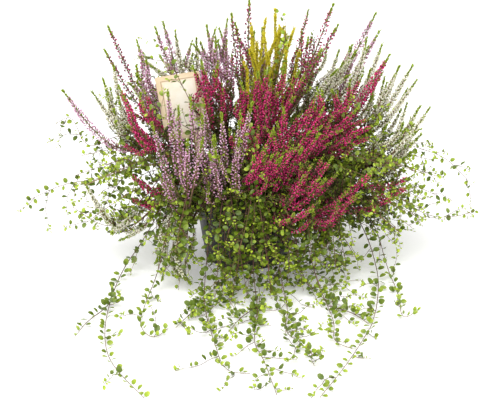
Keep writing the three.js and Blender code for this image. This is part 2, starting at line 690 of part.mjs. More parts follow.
// The vine's leaves: a thin blade drawn out of one side of the stem, widest a little past its middle.
const LEAF_LENGTH = 8.5;
const LEAF_WIDTH = 7;
const LEAF_THICKNESS = 1;
const LEAF_ROOT = 1.6;
const LEAF_STRIDE = 8;
const LEAVES_TOGETHER = 2;
const FIRST_LEAF = 3;
const STEM_TURN = 0.45;
const WIDEST = 0.58;

function leafOutline(seat, along, across, normal, size) {
  const middle = add(seat, along, WIDEST * LEAF_LENGTH * size);
  const half = (LEAF_WIDTH / 2) * size;
  return [
    add(middle, normal, -LEAF_THICKNESS / 2),
    add(middle, across, half),
    add(middle, normal, LEAF_THICKNESS / 2),
    add(middle, across, -half),
    add(seat, along, LEAF_LENGTH * size),
  ];
}

function vineSolid(strand, taken) {
  const { way, owner, root, forks } = strand;
  const last = way.length - 1;
  const frames = framesAlong(way);
  const section = (i, shift, radius, turn, leaves) => {
    return { ...frames[i], p: add(way[i], frames[i].t, shift), radius, turn, leaves };
  };
  const foot = root ? [section(0, 0, ROOT_RADIUS, 0)] : [0, 2, FOOT_STEPS].map((i) => {
    return section(i, 0, VINE_FOOT_RADIUS, 0);
  });
  const stations = [...foot];
  let before = root ? 0 : FOOT_STEPS;
  let turn = 0;
  const bareTo = (i) => {
    for (const bend of bends(way, before, i).slice(1)) {
      stations.push(section(bend, 0, VINE_RADIUS, turn));
    }
    before = i;
  };
  const firstLeaf = before + FIRST_LEAF;
  for (let i = before + 1; i < last; i += 1) {
    const leafy = i >= firstLeaf && (i - firstLeaf) % LEAF_STRIDE === 0;
    if (!leafy && !forks.includes(i)) continue;
    bareTo(i);
    if (leafy) {
      turn += STEM_TURN;
      const leaves = chooseLeaves(way[i], frames[i], turn, owner + i, owner, taken);
      stations.push(section(i, -LEAF_ROOT / 2, VINE_RADIUS, turn, leaves));
      stations.push(section(i, LEAF_ROOT / 2, VINE_RADIUS, turn));
    } else {
      stations.push(section(i, 0, VINE_RADIUS, turn));
    }
  }
  bareTo(last);
  return solidOf(stemMesh(stations, way[last]));
}

// The sides of the stem on which leaves have room, tried in turn with two ways to hold the blade:
// forward along the stem, or a little back. The blade is twisted so that its face looks up.
const FORWARD = 0.5;
const BACKWARD = -0.3;
const BLADE_TWIST = 0.6;
const LEAST_SIZE = 0.85;
const SIZE_SPREAD = 0.3;
const SIZE_BEAT = 1.7;
const HEART_AT = 1.1;

function chooseLeaves(p, frame, turn, start, owner, taken) {
  const { t, side, other } = frame;
  const leaves = {};
  for (let attempt = 0; attempt < 2 * SIDES; attempt += 1) {
    const k = (start + attempt) % SIDES;
    if (leaves[k] || Object.keys(leaves).length === LEAVES_TOGETHER) continue;
    const angle = turn + ((k + 0.5) * 2 * Math.PI) / SIDES;
    const outward = add(scale(side, Math.cos(angle)), other, Math.sin(angle));
    const along = unit(add(outward, t, attempt < SIDES ? FORWARD : BACKWARD));
    const level = unit(cross(t, outward));
    const raised = unit(cross(along, level));
    const twist = raised[2] * level[2] > 0 ? -BLADE_TWIST : BLADE_TWIST;
    const across = unit(add(level, raised, twist));
    const normal = unit(cross(along, across));
    const size = LEAST_SIZE + SIZE_SPREAD * Math.abs(Math.sin((start + attempt) * SIZE_BEAT));
    const seat = add(p, outward, VINE_RADIUS / 2);
    const outline = leafOutline(seat, along, across, normal, size);
    const reach = (LEAF_LENGTH * size) / 2;
    const heart = add(seat, along, reach * HEART_AT);
    if (!clearOf(taken, heart, outline, owner, reach)) continue;
    taken.leaves.push({ p: heart, r: reach, owner });
    leaves[k] = outline;
  }
  return leaves;
}

// Whether a leaf with these corners stays off the floor, the pot, other leaves and other stems.
const LEAST_HEIGHT = 0.5;
const POT_MARGIN = 1;
const OWN_SHARE = 0.75;
const LOOK_AROUND = 12;
const CORNER_MARGIN = 1.2;
const HEART_MARGIN = 2.2;

function clearOf(taken, heart, corners, owner, reach) {
  if (corners.some((c) => c[2] < LEAST_HEIGHT)) return false;
  if (corners.some((c) => insidePot(c, POT_MARGIN))) return false;
  for (const leaf of taken.leaves) {
    const share = leaf.owner === owner ? OWN_SHARE : 1;
    if (length(sub(leaf.p, heart)) < (leaf.r + reach) * share) return false;
  }
  for (const point of taken.points) {
    if (point.owner === owner) continue;
    const d = length(sub(point.p, heart));
    if (d > reach + LOOK_AROUND) continue;
    if (corners.some((c) => length(sub(c, point.p)) < point.r + CORNER_MARGIN)) return false;
    if (d < point.r + HEART_MARGIN) return false;
  }
  return true;
}

function insidePot(c, margin) {
  const out = Math.sqrt(c[0] * c[0] + c[1] * c[1]);
  if (c[2] > POT_HEIGHT + margin) return false;
  const along = Math.max(0, c[2] / POT_HEIGHT);
  return out < POT_FOOT_RADIUS + (POT_TOP_RADIUS - POT_FOOT_RADIUS) * along + COLLAR_STEP + margin;
}

// The one outer body of a fused solid, without sealed hollows or loose scraps.
function oneBody(solid) {
  return solid.decompose().reduce((best, one) => (one.volume() > best.volume() ? one : best));
}

function geometryOf(solid) {
  const { vertProperties, triVerts, numProp } = solid.getMesh();
  const geometry = new THREE.BufferGeometry();
  const places = new Float32Array((vertProperties.length / numProp) * 3);
  for (let i = 0; i < places.length / 3; i += 1) {
    for (let k = 0; k < 3; k += 1) places[i * 3 + k] = vertProperties[i * numProp + k];
  }
  geometry.setAttribute('position', new THREE.BufferAttribute(places, 3));
  geometry.setIndex(new THREE.BufferAttribute(new Uint32Array(triVerts), 1));
  geometry.computeVertexNormals();
  return geometry;
}

// A closed solid from one of three's own geometries, put in its place.
function solidFrom(geometry, matrix) {
  geometry.applyMatrix4(matrix);
  geometry.deleteAttribute('normal');
  geometry.deleteAttribute('uv');
  const merged = mergeVertices(geometry, 1e-4);
  const index = merged.getIndex().array;
  const position = merged.getAttribute('position').array;
  const kept = [];
  for (let i = 0; i < index.length; i += 3) {
    const [a, b, c] = [index[i], index[i + 1], index[i + 2]];
    if (a !== b && b !== c && c !== a) kept.push(a, b, c);
  }
  return new Manifold(new Mesh({
    numProp: 3,
    vertProperties: new Float32Array(position),
    triVerts: new Uint32Array(kept),
  }));
}

// A named piece of the part.
const group = new THREE.Group();

function place(name, solid, colour, roughness) {
  const material = new THREE.MeshStandardMaterial({ color: colour, roughness, metalness: 0 });
  const mesh = new THREE.Mesh(geometryOf(solid), material);
  mesh.name = name;
  group.add(mesh);
}

// A solid turned round the upright axis from its outline of radius and height.
function turned(profile) {
  const points = profile.map(([r, z]) => new THREE.Vector2(r, z));
  const upright = new THREE.Matrix4().makeRotationX(Math.PI / 2);
  return solidFrom(new THREE.LatheGeometry(points, POT_SIDES), upright);
}

// The pot: a thin tapered wall with a collar round its rim, and a floor with drain holes.
const FOOT_EDGE = 1.5;
const RIM_EDGE = 0.8;
const FLOOR_EDGE = 2;
const DRAIN_SIDES = 8;

function potSolid() {
  const wallTop = POT_HEIGHT - COLLAR_HEIGHT;
  const wallRadius = POT_TOP_RADIUS - COLLAR_STEP;
  let pot = turned([
    [0, 0],
    [POT_FOOT_RADIUS - FOOT_EDGE, 0],
    [POT_FOOT_RADIUS, FOOT_EDGE],
    [wallRadius, wallTop],
    [POT_TOP_RADIUS, wallTop + FOOT_EDGE],
    [POT_TOP_RADIUS, POT_HEIGHT - RIM_EDGE],
    [POT_TOP_RADIUS - RIM_EDGE, POT_HEIGHT],
    [wallRadius, POT_HEIGHT],
    [innerRadius(POT_FLOOR + FLOOR_EDGE), POT_FLOOR + FLOOR_EDGE],
    [innerRadius(POT_FLOOR) - FLOOR_EDGE, POT_FLOOR],
    [0, POT_FLOOR],
  ]);
  for (let k = 0; k < DRAIN_COUNT; k += 1) {
    const angle = ((k + 0.5) * 2 * Math.PI) / DRAIN_COUNT;
    const drill = new THREE.CylinderGeometry(DRAIN_RADIUS, DRAIN_RADIUS, POT_FLOOR * 4, DRAIN_SIDES);
    const at = new THREE.Matrix4()
      .makeTranslation(DRAIN_CIRCLE * Math.cos(angle), DRAIN_CIRCLE * Math.sin(angle), POT_FLOOR / 2)
      .multiply(new THREE.Matrix4().makeRotationX(Math.PI / 2));
    pot = pot.subtract(solidFrom(drill, at));
  }
  return pot;
}

function innerRadius(z) {
  const low = POT_FOOT_RADIUS - POT_WALL;
  const high = POT_TOP_RADIUS - COLLAR_STEP;
  return low + ((high - low) * z) / POT_HEIGHT;
}

// A three-sided plain hole for a stem's foot, a little wider than the foot.
function footHole(foot, radius) {
  const low = [foot[0], foot[1], SOIL_TOP - HOLE_DEPTH];
  const high = [foot[0], foot[1], SOIL_TOP + 2];
  const corners = [];
  for (const end of [low, high]) {
    for (let k = 0; k < SIDES; k += 1) {
      const angle = (k * 2 * Math.PI) / SIDES;
      corners.push([end[0] + radius * Math.cos(angle), end[1] + radius * Math.sin(angle), end[2]]);
    }
  }
  return solidOf({
    corners,
    faces: [[2, 1, 0], [3, 4, 5], [0, 1, 4], [0, 4, 3], [1, 2, 5], [1, 5, 4], [2, 0, 3], [2, 3, 5]],
  });
}

// The soil fills the pot, with a hole for every foot and a slot for the label's stake.
const SOIL_GAP = 0.4;

function soilSolid(feet) {
  const low = POT_FLOOR + SEAT_GAP;
  let soil = turned([
    [0, low],
    [innerRadius(low) - FLOOR_EDGE - SOIL_GAP, low],
    [innerRadius(low + FLOOR_EDGE) - SOIL_GAP, low + FLOOR_EDGE],
    [innerRadius(SOIL_TOP) - SOIL_GAP, SOIL_TOP],
    [0, SOIL_TOP],
  ]);
  feet.forEach((foot, n) => {
    const radius = n < SPRAYS.length ? STEM_RADIUS : VINE_FOOT_RADIUS;
    soil = soil.subtract(footHole(foot, radius + 2 * SEAT_GAP));
  });
  return soil.subtract(labelSolid(2 * SEAT_GAP));
}

// The label: a panel with clipped corners, to the left on a pointed stake, leaning a little back.
const SHOULDER_HEIGHT = 6;

function labelSolid(grow) {
  const w = LABEL_WIDTH / 2;
  const s = STAKE_WIDTH / 2 + grow;
  const low = PANEL_BOTTOM - SOIL_TOP;
  const high = low + LABEL_HEIGHT;
  const foot = -STAKE_DEPTH - grow;
  const outline = [
    [0, foot],
    [s, foot + STAKE_POINT],
    [s, low - SHOULDER_HEIGHT],
    [w - LABEL_CLIP, low],
    [w, high - LABEL_CLIP],
    [w - LABEL_CLIP, high],
  ];
  const aside = (v) => (v < low ? 0 : PANEL_ASIDE);
  const shape = new THREE.Shape();
  shape.moveTo(outline[0][0], outline[0][1]);
  outline.slice(1).forEach(([u, v]) => shape.lineTo(aside(v) + u, v));
  outline.slice(1).reverse().forEach(([u, v]) => shape.lineTo(aside(v) - u, v));
  const thickness = LABEL_THICKNESS + grow;
  const sheet = new THREE.ExtrudeGeometry(shape, { depth: thickness, bevelEnabled: false, steps: 1 });
  const stand = labelTurn.clone()
    .multiply(new THREE.Matrix4().makeRotationX(Math.PI / 2))
    .multiply(new THREE.Matrix4().makeTranslation(0, 0, -thickness / 2));
  return solidFrom(sheet, stand);
}

const { strands, feet } = makeStrands();
const points = settle(strands);
trimReach(strands, points);
strands.forEach((strand) => {
  strand.reach.forEach((r, i) => {
    points[strand.start + i].r = r;
  });
});

place('pot', potSolid(), POT_COLOUR, 0.45);
place('soil', soilSolid(feet), SOIL_COLOUR, 0.95);
place('label', labelSolid(0), LABEL_COLOUR, 0.6);

const number = (n) => String(n + 1).padStart(2, '0');
SPRAYS.forEach(([kind], s) => {
  const own = strands.filter((strand) => strand.owner === s).map(shootSolid);
  const spray = oneBody(own.reduce((all, one) => all.add(one)));
  place(`heather_${number(s)}_${kind}`, spray, KINDS[kind].colour, 0.7);
});

const taken = { points, leaves: [] };
VINES.forEach((_, v) => {
  const own = strands.filter(({ owner }) => owner === SPRAYS.length + v);
  const solids = own.map((strand) => vineSolid(strand, taken));
  const vine = oneBody(solids.reduce((all, one) => all.add(one)));
  place(`wire_vine_${number(v)}`, vine, VINE_COLOUR, 0.5);
});

export default group;
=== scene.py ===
# %% [markdown]
# # A pot of mixed heather with wire vine
# This notebook dresses a planted nursery pot. Forty heather sprays stand in it, each with one colour of
# bud flower, and sixteen wire vines run between them, over the rim and along the table. The solid model
# is loaded first and stays where it is: every piece made here grows along the same stems as its solid,
# so the dressed plant and the plain one agree from any side.

# %% Load the solid model
import math

import bpy
import numpy as np
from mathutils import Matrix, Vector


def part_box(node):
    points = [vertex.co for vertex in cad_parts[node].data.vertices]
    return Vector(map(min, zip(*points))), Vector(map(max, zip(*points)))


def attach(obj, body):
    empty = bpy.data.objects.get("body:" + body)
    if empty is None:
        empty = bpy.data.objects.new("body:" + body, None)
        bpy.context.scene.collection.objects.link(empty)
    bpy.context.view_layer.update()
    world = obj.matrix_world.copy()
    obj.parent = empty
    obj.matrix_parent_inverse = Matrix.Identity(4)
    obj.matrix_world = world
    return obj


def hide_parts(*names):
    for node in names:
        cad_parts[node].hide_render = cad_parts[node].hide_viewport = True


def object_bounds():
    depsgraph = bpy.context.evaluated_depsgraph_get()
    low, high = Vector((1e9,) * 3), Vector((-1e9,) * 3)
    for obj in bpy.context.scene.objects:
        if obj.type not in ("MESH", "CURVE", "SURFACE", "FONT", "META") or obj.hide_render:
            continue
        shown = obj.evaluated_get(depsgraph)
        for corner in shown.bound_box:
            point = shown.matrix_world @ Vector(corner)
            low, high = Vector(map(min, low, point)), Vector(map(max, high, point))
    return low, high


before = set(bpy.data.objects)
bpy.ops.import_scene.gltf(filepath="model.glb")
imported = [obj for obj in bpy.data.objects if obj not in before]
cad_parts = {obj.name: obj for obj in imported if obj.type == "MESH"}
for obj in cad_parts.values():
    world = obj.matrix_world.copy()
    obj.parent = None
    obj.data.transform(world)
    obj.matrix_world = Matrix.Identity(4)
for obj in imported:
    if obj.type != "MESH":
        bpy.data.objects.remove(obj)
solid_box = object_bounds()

print("solids loaded:", len(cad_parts))

# %% [markdown]
# ## Camera, table and light
# The picture was taken from a little above, about 22 degrees, with a long lens. The camera looks at the
# middle of the planting from 1.35 m. The table is one big pale plane, and the light is a bright even
# room with two soft suns, so that the gaps between the stems go dark and the flowers stay bright. The
# table has a painted glow of its own, though it is no lamp, which fills in the shadows of the pot and
# the plants so that it stays white beside the pot.

# %% Camera
LOOK_AT = (0.00375, 0.0, 0.072)
CAMERA_DISTANCE = 1.35
CAMERA_HEIGHT_ANGLE = math.radians(22)
SENSOR_WIDTH, LENS = 36, 77.76

eye = bpy.data.cameras.new("studio_camera")
eye.sensor_width = SENSOR_WIDTH
eye.lens = LENS
camera = bpy.data.objects.new("studio_camera", eye)
camera.location = (
    LOOK_AT[0],
    LOOK_AT[1] - CAMERA_DISTANCE * math.cos(CAMERA_HEIGHT_ANGLE),
    LOOK_AT[2] + CAMERA_DISTANCE * math.sin(CAMERA_HEIGHT_ANGLE),
)
camera.rotation_euler = (math.radians(90) - CAMERA_HEIGHT_ANGLE, 0, 0)
bpy.context.scene.collection.objects.link(camera)
bpy.context.scene.camera = camera
bpy.context.scene.view_settings.view_transform = "Standard"
print("camera at", tuple(round(c, 3) for c in camera.location))


# %% Colours as shaders want them
def paint(red, green, blue):
    """A colour read off a swatch, 0 to 255, as the linear numbers that shaders want."""
    swatch = np.array([red, green, blue]) / 255
    linear = np.where(swatch <= 0.04045, swatch / 12.92, ((swatch + 0.055) / 1.055) ** 2.4)
    return (*linear.tolist(), 1.0)


def shades(*stops):
    """Stops of a colour ramp, from rows of place, red, green and blue."""
    return [(place, paint(*swatch)) for place, *swatch in stops]


print("a mid grey swatch is", round(paint(128, 128, 128)[0], 3), "of full light")


# %% A finish and the nodes that colour it
def new_finish(name, roughness, specular=0.35):
    """A material with one main shader, and its node tree to add to."""
    finish = bpy.data.materials.new(name)
    finish.use_nodes = True
    tree = finish.node_tree
    shader = tree.nodes["Principled BSDF"]
    shader.inputs["Roughness"].default_value = roughness
    shader.inputs["Specular IOR Level"].default_value = specular
    return finish, tree, shader


def feed(tree, socket, value):
    """A socket given its value: a link from another socket, or a plain number or colour."""
    if isinstance(value, bpy.types.NodeSocket):
        tree.links.new(value, socket)
    else:
        socket.default_value = value


def ramp(tree, value, stops):
    """A colour ramp fed by a value. Stops are (place, colour)."""
    node = tree.nodes.new("ShaderNodeValToRGB")
    band = node.color_ramp
    while len(band.elements) < len(stops):
        band.elements.new(0.5)
    for element, (place, colour) in zip(band.elements, stops):
        element.position = place
        element.color = colour
    tree.links.new(value, node.inputs["Fac"])
    return node.outputs["Color"]


def mixed(tree, share, one, other, way="MIX"):
    """Two colours mixed by a share, which is a number or a socket."""
    node = tree.nodes.new("ShaderNodeMix")
    node.data_type = "RGBA"
    node.blend_type = way
    for place, value in ((0, share), (6, one), (7, other)):
        feed(tree, node.inputs[place], value)
    return node.outputs[2]


def worked_out(tree, operation, one, other=0.0):
    """One step of arithmetic on two values, each a number or a socket."""
    node = tree.nodes.new("ShaderNodeMath")
    node.operation = operation
    feed(tree, node.inputs[0], one)
    feed(tree, node.inputs[1], other)
    return node.outputs[0]


print("finishes are made with nodes and without pictures")


# %% Grain, relief and ranges
def own_place(tree):
    """Places on the object itself, so that a pattern stays on it wherever it stands."""
    return tree.nodes.new("ShaderNodeTexCoord").outputs["Object"]


def noise(tree, where, scale, detail=2.0):
    """A grey noise value at a place given by a socket."""
    node = tree.nodes.new("ShaderNodeTexNoise")
    node.inputs["Scale"].default_value = scale
    node.inputs["Detail"].default_value = detail
    tree.links.new(where, node.inputs["Vector"])
    return node.outputs["Fac"]


def bump(tree, shader, height, distance, strength=0.6):
    """Fine relief from a height value."""
    node = tree.nodes.new("ShaderNodeBump")
    node.inputs["Strength"].default_value = strength
    node.inputs["Distance"].default_value = distance
    tree.links.new(height, node.inputs["Height"])
    tree.links.new(node.outputs["Normal"], shader.inputs["Normal"])


def in_range(tree, value, low, high):
    """A value from 0 to 1 brought into a range."""
    node = tree.nodes.new("ShaderNodeMapRange")
    node.inputs["To Min"].default_value = low
    node.inputs["To Max"].default_value = high
    tree.links.new(value, node.inputs["Value"])
    return node.outputs["Result"]


print("grain, relief and ranges are ready for every finish")

# %% Table
TABLE_SIZE = 14.0
TABLE_PAINTED_GLOW = 0.18
table_mesh = bpy.data.meshes.new("table")
half = TABLE_SIZE / 2
table_mesh.from_pydata(
    [(-half, -half, 0), (half, -half, 0), (half, half, 0), (-half, half, 0)], [], [(0, 1, 2, 3)]
)
table = bpy.data.objects.new("table", table_mesh)
bpy.context.scene.collection.objects.link(table)
table_finish, tree, shader = new_finish("pale_table", 0.9, 0.1)
clouds = noise(tree, own_place(tree), 3.0)
whites = ramp(tree, clouds, shades((0, 246, 246, 246), (1, 252, 252, 252)))
tree.links.new(whites, shader.inputs["Base Color"])
# Painted glow: the table gives off a little light of its own, though it is no lamp, to wash out the shadows
# on it.
shader.inputs["Emission Color"].default_value = (1, 1, 1, 1)
shader.inputs["Emission Strength"].default_value = TABLE_PAINTED_GLOW
table_mesh.materials.append(table_finish)
print("table is", TABLE_SIZE, "m wide")


# %% Lamps and room
ROOM_LIGHT = 0.78


def soft_sun(name, energy, place, tilt, turn, spread):
    """A far lamp, tilted from straight down and turned round the upright, with a soft edge, in degrees."""
    light = bpy.data.lights.new(name, "SUN")
    light.energy = energy
    light.angle = math.radians(spread)
    sun = bpy.data.objects.new(name, light)
    sun.location = place
    sun.rotation_euler = (math.radians(tilt), 0, math.radians(turn))
    bpy.context.scene.collection.objects.link(sun)


room = bpy.data.worlds.new("bright_room")
bpy.context.scene.world = room
room.use_nodes = True
room.node_tree.nodes["Background"].inputs["Color"].default_value = (1, 1, 1, 1)
room.node_tree.nodes["Background"].inputs["Strength"].default_value = ROOM_LIGHT
soft_sun("soft_key", 2.0, (-1, -1.5, 2.5), tilt=34, turn=-32, spread=50)
soft_sun("soft_fill", 0.5, (1.5, -1.5, 2), tilt=50, turn=40, spread=60)
print("room light:", ROOM_LIGHT, "and two soft suns")

# %% [markdown]
# ## Where the stems run
# All lengths here are millimetres, as a grower would measure. Each spray is written down by its flower
# colour, the points that its stems are drawn towards, and the tip of each of its shoots. Each vine is
# written down by its foot, the points that it is drawn towards, and those of its side stems. The real
# plants could be copied stem by stem, but a short plan is easier to read and to change, and the next
# steps grow smooth stems from it by the same arithmetic that shaped the solids.

# %% The planting plan
# Each spray: flower colour, points that its stems are drawn towards, tips of its shoots.
SPRAYS = [
    # left side
    ["lilac", [[-120, -10, 135], [-175, -12, 150]], [[-220, -5, 215]]],
    ["white", [[-85, 10, 130], [-150, 15, 145]],
      [[-176, 28, 220], [-186, 5, 210], [-160, -8, 192], [-165, 45, 235]]],
    ["crimson", [[-75, -35, 140], [-125, -42, 175]],
      [[-150, -30, 228], [-138, -60, 188], [-126, -18, 215]]],
    ["sparse", [[-85, 45, 150], [-135, 60, 185]], [[-170, 58, 277], [-132, 90, 235]]],
    ["lilac", [[-70, 10, 150], [-112, 18, 190]], [[-133, 32, 266], [-121, 8, 254], [-140, -8, 225]]],
    ["lilac", [[-60, 60, 165], [-85, 70, 205]], [[-104, 72, 280], [-70, 95, 250]]],
    ["white", [[-50, 50, 165], [-80, 66, 195]],
      [[-88, 55, 272], [-135, 62, 240], [-66, 38, 250], [-112, 104, 230]]],
    # low on the left, in front
    ["crimson", [[-70, -40, 125], [-105, -55, 95]], [[-140, -62, 132]]],
    ["white", [[-75, -28, 128], [-125, -40, 62], [-165, -42, 48]], [[-196, -40, 112], [-160, -75, 60]]],
    ["white", [[-55, -62, 128], [-92, -82, 60], [-98, -88, 25]], [[-100, -102, 12], [-72, -108, 14]]],
    # front, left of the middle
    ["lilac", [[-45, -70, 135], [-70, -100, 62]], [[-88, -92, 240], [-106, -100, 205], [-66, -110, 188]]],
    ["lilac", [[-28, -75, 135], [-50, -98, 75]], [[-64, -72, 225], [-50, -90, 210], [-80, -68, 180]]],
    ["lilac", [[-20, -72, 140], [-22, -98, 100]],
      [[-28, -98, 215], [6, -88, 224], [-8, -112, 190], [-42, -116, 176]]],
    # middle, in front
    ["crimson", [[10, -62, 145], [12, -90, 130]],
      [[30, -95, 196], [38, -114, 168], [8, -116, 170], [-8, -62, 206]]],
    ["crimson", [[22, -68, 140], [42, -100, 84]], [[97, -100, 164], [88, -122, 146], [74, -130, 112]]],
    ["crimson", [[28, -60, 145], [45, -80, 125]],
      [[82, -88, 188], [88, -60, 210], [62, -104, 176], [42, -74, 214]]],
    ["crimson", [[45, -50, 135], [86, -85, 78]], [[146, -90, 145], [130, -106, 124]]],
    ["crimson", [[58, -38, 130], [122, -58, 80]], [[196, -60, 114], [176, -78, 106]]],
    # middle
    ["crimson", [[-30, 0, 150], [-42, -8, 185]], [[-52, -24, 252], [-34, -6, 250], [-64, -4, 244]]],
    ["lilac", [[-28, 34, 160], [-36, 44, 205]],
      [[-56, 22, 267], [-24, 54, 287], [-38, 34, 270], [-50, 72, 276]]],
    ["sparse", [[-2, 18, 170], [0, 30, 220]], [[3, 36, 316], [-14, 48, 284]]],
    ["gold", [[4, 10, 165], [12, 24, 215]], [[5, 18, 290], [23, 60, 288], [12, 0, 274]]],
    ["gold", [[26, 24, 165], [36, 40, 210]], [[34, 42, 302], [57, 36, 281], [40, 70, 276]]],
    ["lilac", [[10, 50, 165], [22, 72, 205]], [[19, 82, 270], [50, 94, 260], [-14, 88, 262]]],
    ["crimson", [[6, -20, 155], [10, -28, 185]], [[13, -38, 246], [26, -12, 244], [-6, -22, 228]]],
    ["crimson", [[24, -12, 155], [38, -16, 185]], [[44, -16, 248], [62, 4, 236], [54, -40, 216]]],
    ["sparse", [[38, 10, 160], [62, 18, 200]], [[74, 26, 271], [108, 14, 290]]],
    ["crimson", [[45, 30, 160], [68, 45, 205]], [[104, 42, 309], [68, 78, 270]]],
    # right side
    ["white", [[56, 36, 150], [96, 54, 185]],
      [[114, 62, 247], [118, 32, 241], [134, 50, 249], [138, 86, 237]]],
    ["lilac", [[65, 50, 150], [112, 60, 195]], [[158, 66, 292], [132, 107, 240]]],
    ["white", [[65, 18, 145], [132, 26, 166]], [[164, 32, 263], [148, 8, 236]]],
    ["crimson", [[55, 0, 145], [120, -3, 172]], [[169, 0, 257], [122, -14, 229], [100, -28, 222]]],
    ["crimson", [[48, -30, 145], [90, -40, 155]], [[130, -42, 205], [152, -48, 187], [88, -36, 222]]],
    ["white", [[80, 20, 132], [153, 28, 142]], [[187, 42, 232], [199, 14, 240], [176, 66, 204]]],
    ["white", [[88, -4, 124], [172, -2, 112]],
      [[220, -2, 192], [196, 20, 191], [208, -24, 166], [215, 48, 176]]],
    # back
    ["white", [[30, 62, 145], [62, 115, 150]], [[80, 135, 212], [45, 150, 200], [112, 122, 190]]],
    ["crimson", [[0, 66, 145], [0, 120, 150]], [[-6, 130, 222], [28, 122, 230], [-12, 168, 176]]],
    ["lilac", [[-30, 62, 145], [-62, 115, 150]], [[-60, 125, 222], [-95, 135, 190], [-40, 158, 192]]],
    ["white", [[-55, 52, 140], [-118, 98, 140]], [[-150, 105, 190], [-130, 130, 168]]],
    ["crimson", [[58, 52, 140], [118, 98, 140]], [[158, 102, 200], [140, 135, 168]]],
]

# Each vine: foot, points that it is drawn towards, points of each side stem.
VINES = [
    # left, in the air
    [[-56, -12], [[-80, -14, 135], [-120, -20, 128], [-180, -22, 108], [-225, -20, 102], [-272, -20, 78]],
      [[[-102, -10, 118], [-112, -4, 64], [-116, 2, 14]], [[-150, -16, 112], [-176, -6, 72], [-184, 4, 48]]]],
    [[-50, 22], [[-95, 15, 150], [-150, -8, 165], [-198, 0, 135], [-212, 4, 185], [-232, 0, 172]],
      [[[-88, 34, 116], [-98, 48, 66], [-100, 60, 14]]]],
    [[-52, -32], [[-90, -42, 134], [-125, -45, 92], [-168, -30, 40], [-215, -22, 72]],
      [[[-92, -52, 104], [-100, -60, 56], [-108, -72, 8]]]],
    # left, down to the surface
    [[-46, -38], [[-86, -62, 120], [-125, -50, 40], [-152, -50, 3], [-158, -140, 3], [-156, -215, 3],
      [-142, -280, 3], [-100, -345, 3]], [[[-160, -160, 4], [-178, -190, 3], [-186, -226, 3]]]],
    [[-38, -46], [[-78, -72, 126], [-104, -92, 20], [-116, -140, 3], [-120, -200, 3], [-100, -232, 3],
      [-86, -205, 3]], [[[-72, -88, 98], [-76, -98, 50], [-80, -118, 6]]]],
    # front, over the pot's face and out on the surface
    [[-14, -54], [[-38, -92, 130], [-48, -105, 30], [-50, -150, 3], [-34, -240, 3], [-22, -298, 3],
      [4, -300, 3]], [[[-24, -100, 104], [-20, -108, 56], [-18, -126, 8]], [[-62, -170, 4], [-78, -204, 3]]]],
    [[8, -55], [[10, -100, 130], [6, -112, 30], [14, -170, 3], [6, -235, 3], [18, -270, 3], [30, -340, 3]],
      [[[22, -104, 100], [24, -112, 52], [28, -132, 8]], [[-6, -180, 4], [-20, -214, 3]]]],
    [[22, -50], [[30, -98, 110], [38, -112, 25], [48, -160, 3], [40, -215, 3], [62, -240, 3],
      [70, -285, 3]], [[[54, -96, 92], [60, -106, 46], [66, -124, 8]]]],
    [[40, -40], [[60, -92, 105], [80, -112, 20], [92, -150, 3], [98, -195, 3], [92, -235, 3],
      [112, -250, 3]], [[[86, -72, 98], [96, -78, 50], [104, -88, 8]], [[118, -168, 4], [136, -196, 3]]]],
    # right, down to the surface
    [[54, -18], [[95, -35, 130], [145, -42, 50], [160, -60, 3], [155, -115, 3], [142, -190, 3],
      [105, -280, 3], [72, -345, 3]], [[[104, -44, 98], [112, -50, 50], [122, -58, 8]]]],
    [[56, -4], [[100, -12, 135], [158, -28, 55], [172, -60, 3], [178, -120, 3], [172, -190, 3],
      [196, -160, 3]], [[[110, -14, 104], [124, -14, 60], [134, -10, 14]]]],
    # right, in the air
    [[56, 10], [[100, 5, 130], [170, -5, 95], [222, 0, 50], [262, 0, 48], [286, 0, 58]],
      [[[102, 16, 112], [110, 26, 62], [114, 34, 14]]]],
    [[50, 26], [[95, 25, 145], [165, 20, 150], [215, 15, 135], [248, 10, 125], [280, 0, 92]],
      [[[82, 54, 112], [90, 72, 60], [92, 84, 14]]]],
    # up among the shoots
    [[14, 8], [[24, 0, 170], [38, 22, 230], [50, 34, 285], [40, 44, 300]], []],
    [[-24, -20], [[-45, -42, 165], [-70, -48, 225], [-88, -46, 262], [-116, -36, 262]], []],
    # back, down to the surface
    [[-10, 56], [[-18, 100, 130], [-30, 150, 60], [-60, 175, 3], [-105, 180, 3]],
      [[[-46, 88, 112], [-62, 100, 62], [-70, 108, 14]], [[22, 96, 112], [36, 110, 60], [40, 120, 14]]]],
]

# Each kind's flowered length, how far its buds reach to the side, and its green tip.
KINDS = {
    "crimson": {"spike": 98, "reach": 6.6, "tip": 12},
    "lilac": {"spike": 122, "reach": 6.6, "tip": 14},
    "white": {"spike": 88, "reach": 5.6, "tip": 14},
    "gold": {"spike": 105, "reach": 4.4, "tip": 6},
    "sparse": {"spike": 100, "reach": 5.6, "tip": 8},
}
# The pot, the soil and the label, measured as on the solids.
POT_HEIGHT, POT_TOP_RADIUS, POT_FOOT_RADIUS, POT_WALL = 112, 70, 53, 1.6
SOIL_TOP, SEAT_GAP, HOLE_DEPTH = 105, 0.3, 12
LABEL_FOOT = (-52, -8)
LABEL_LEAN, LABEL_TILT = math.radians(9), math.radians(8)
LABEL_WIDTH, LABEL_HEIGHT, PANEL_BOTTOM, PANEL_ASIDE = 54, 78, 158, -12
print("shoots:", sum(len(tips) for _, _, tips in SPRAYS), "vines:", len(VINES))

# %% [markdown]
# ## Smooth stems from a few points
# A stem through a few points would be a bent wire with corners. A spline could round it, but its exact
# shape would depend on the program that draws it. Here each corner is simply cut off four times over,
# which gives a smooth curve from plain sums, and the curve is then walked in even steps of 6 mm.

# %% Smooth ways in even steps
STEP = 6
CORNER_ROUNDS, CORNER_CUT = 4, 0.25


def nearest_whole(value):
    return math.floor(value + 0.5)


def run_along(way):
    """How far along a way each of its points lies."""
    return np.concatenate([[0], np.cumsum(np.linalg.norm(np.diff(way, axis=0), axis=1))])


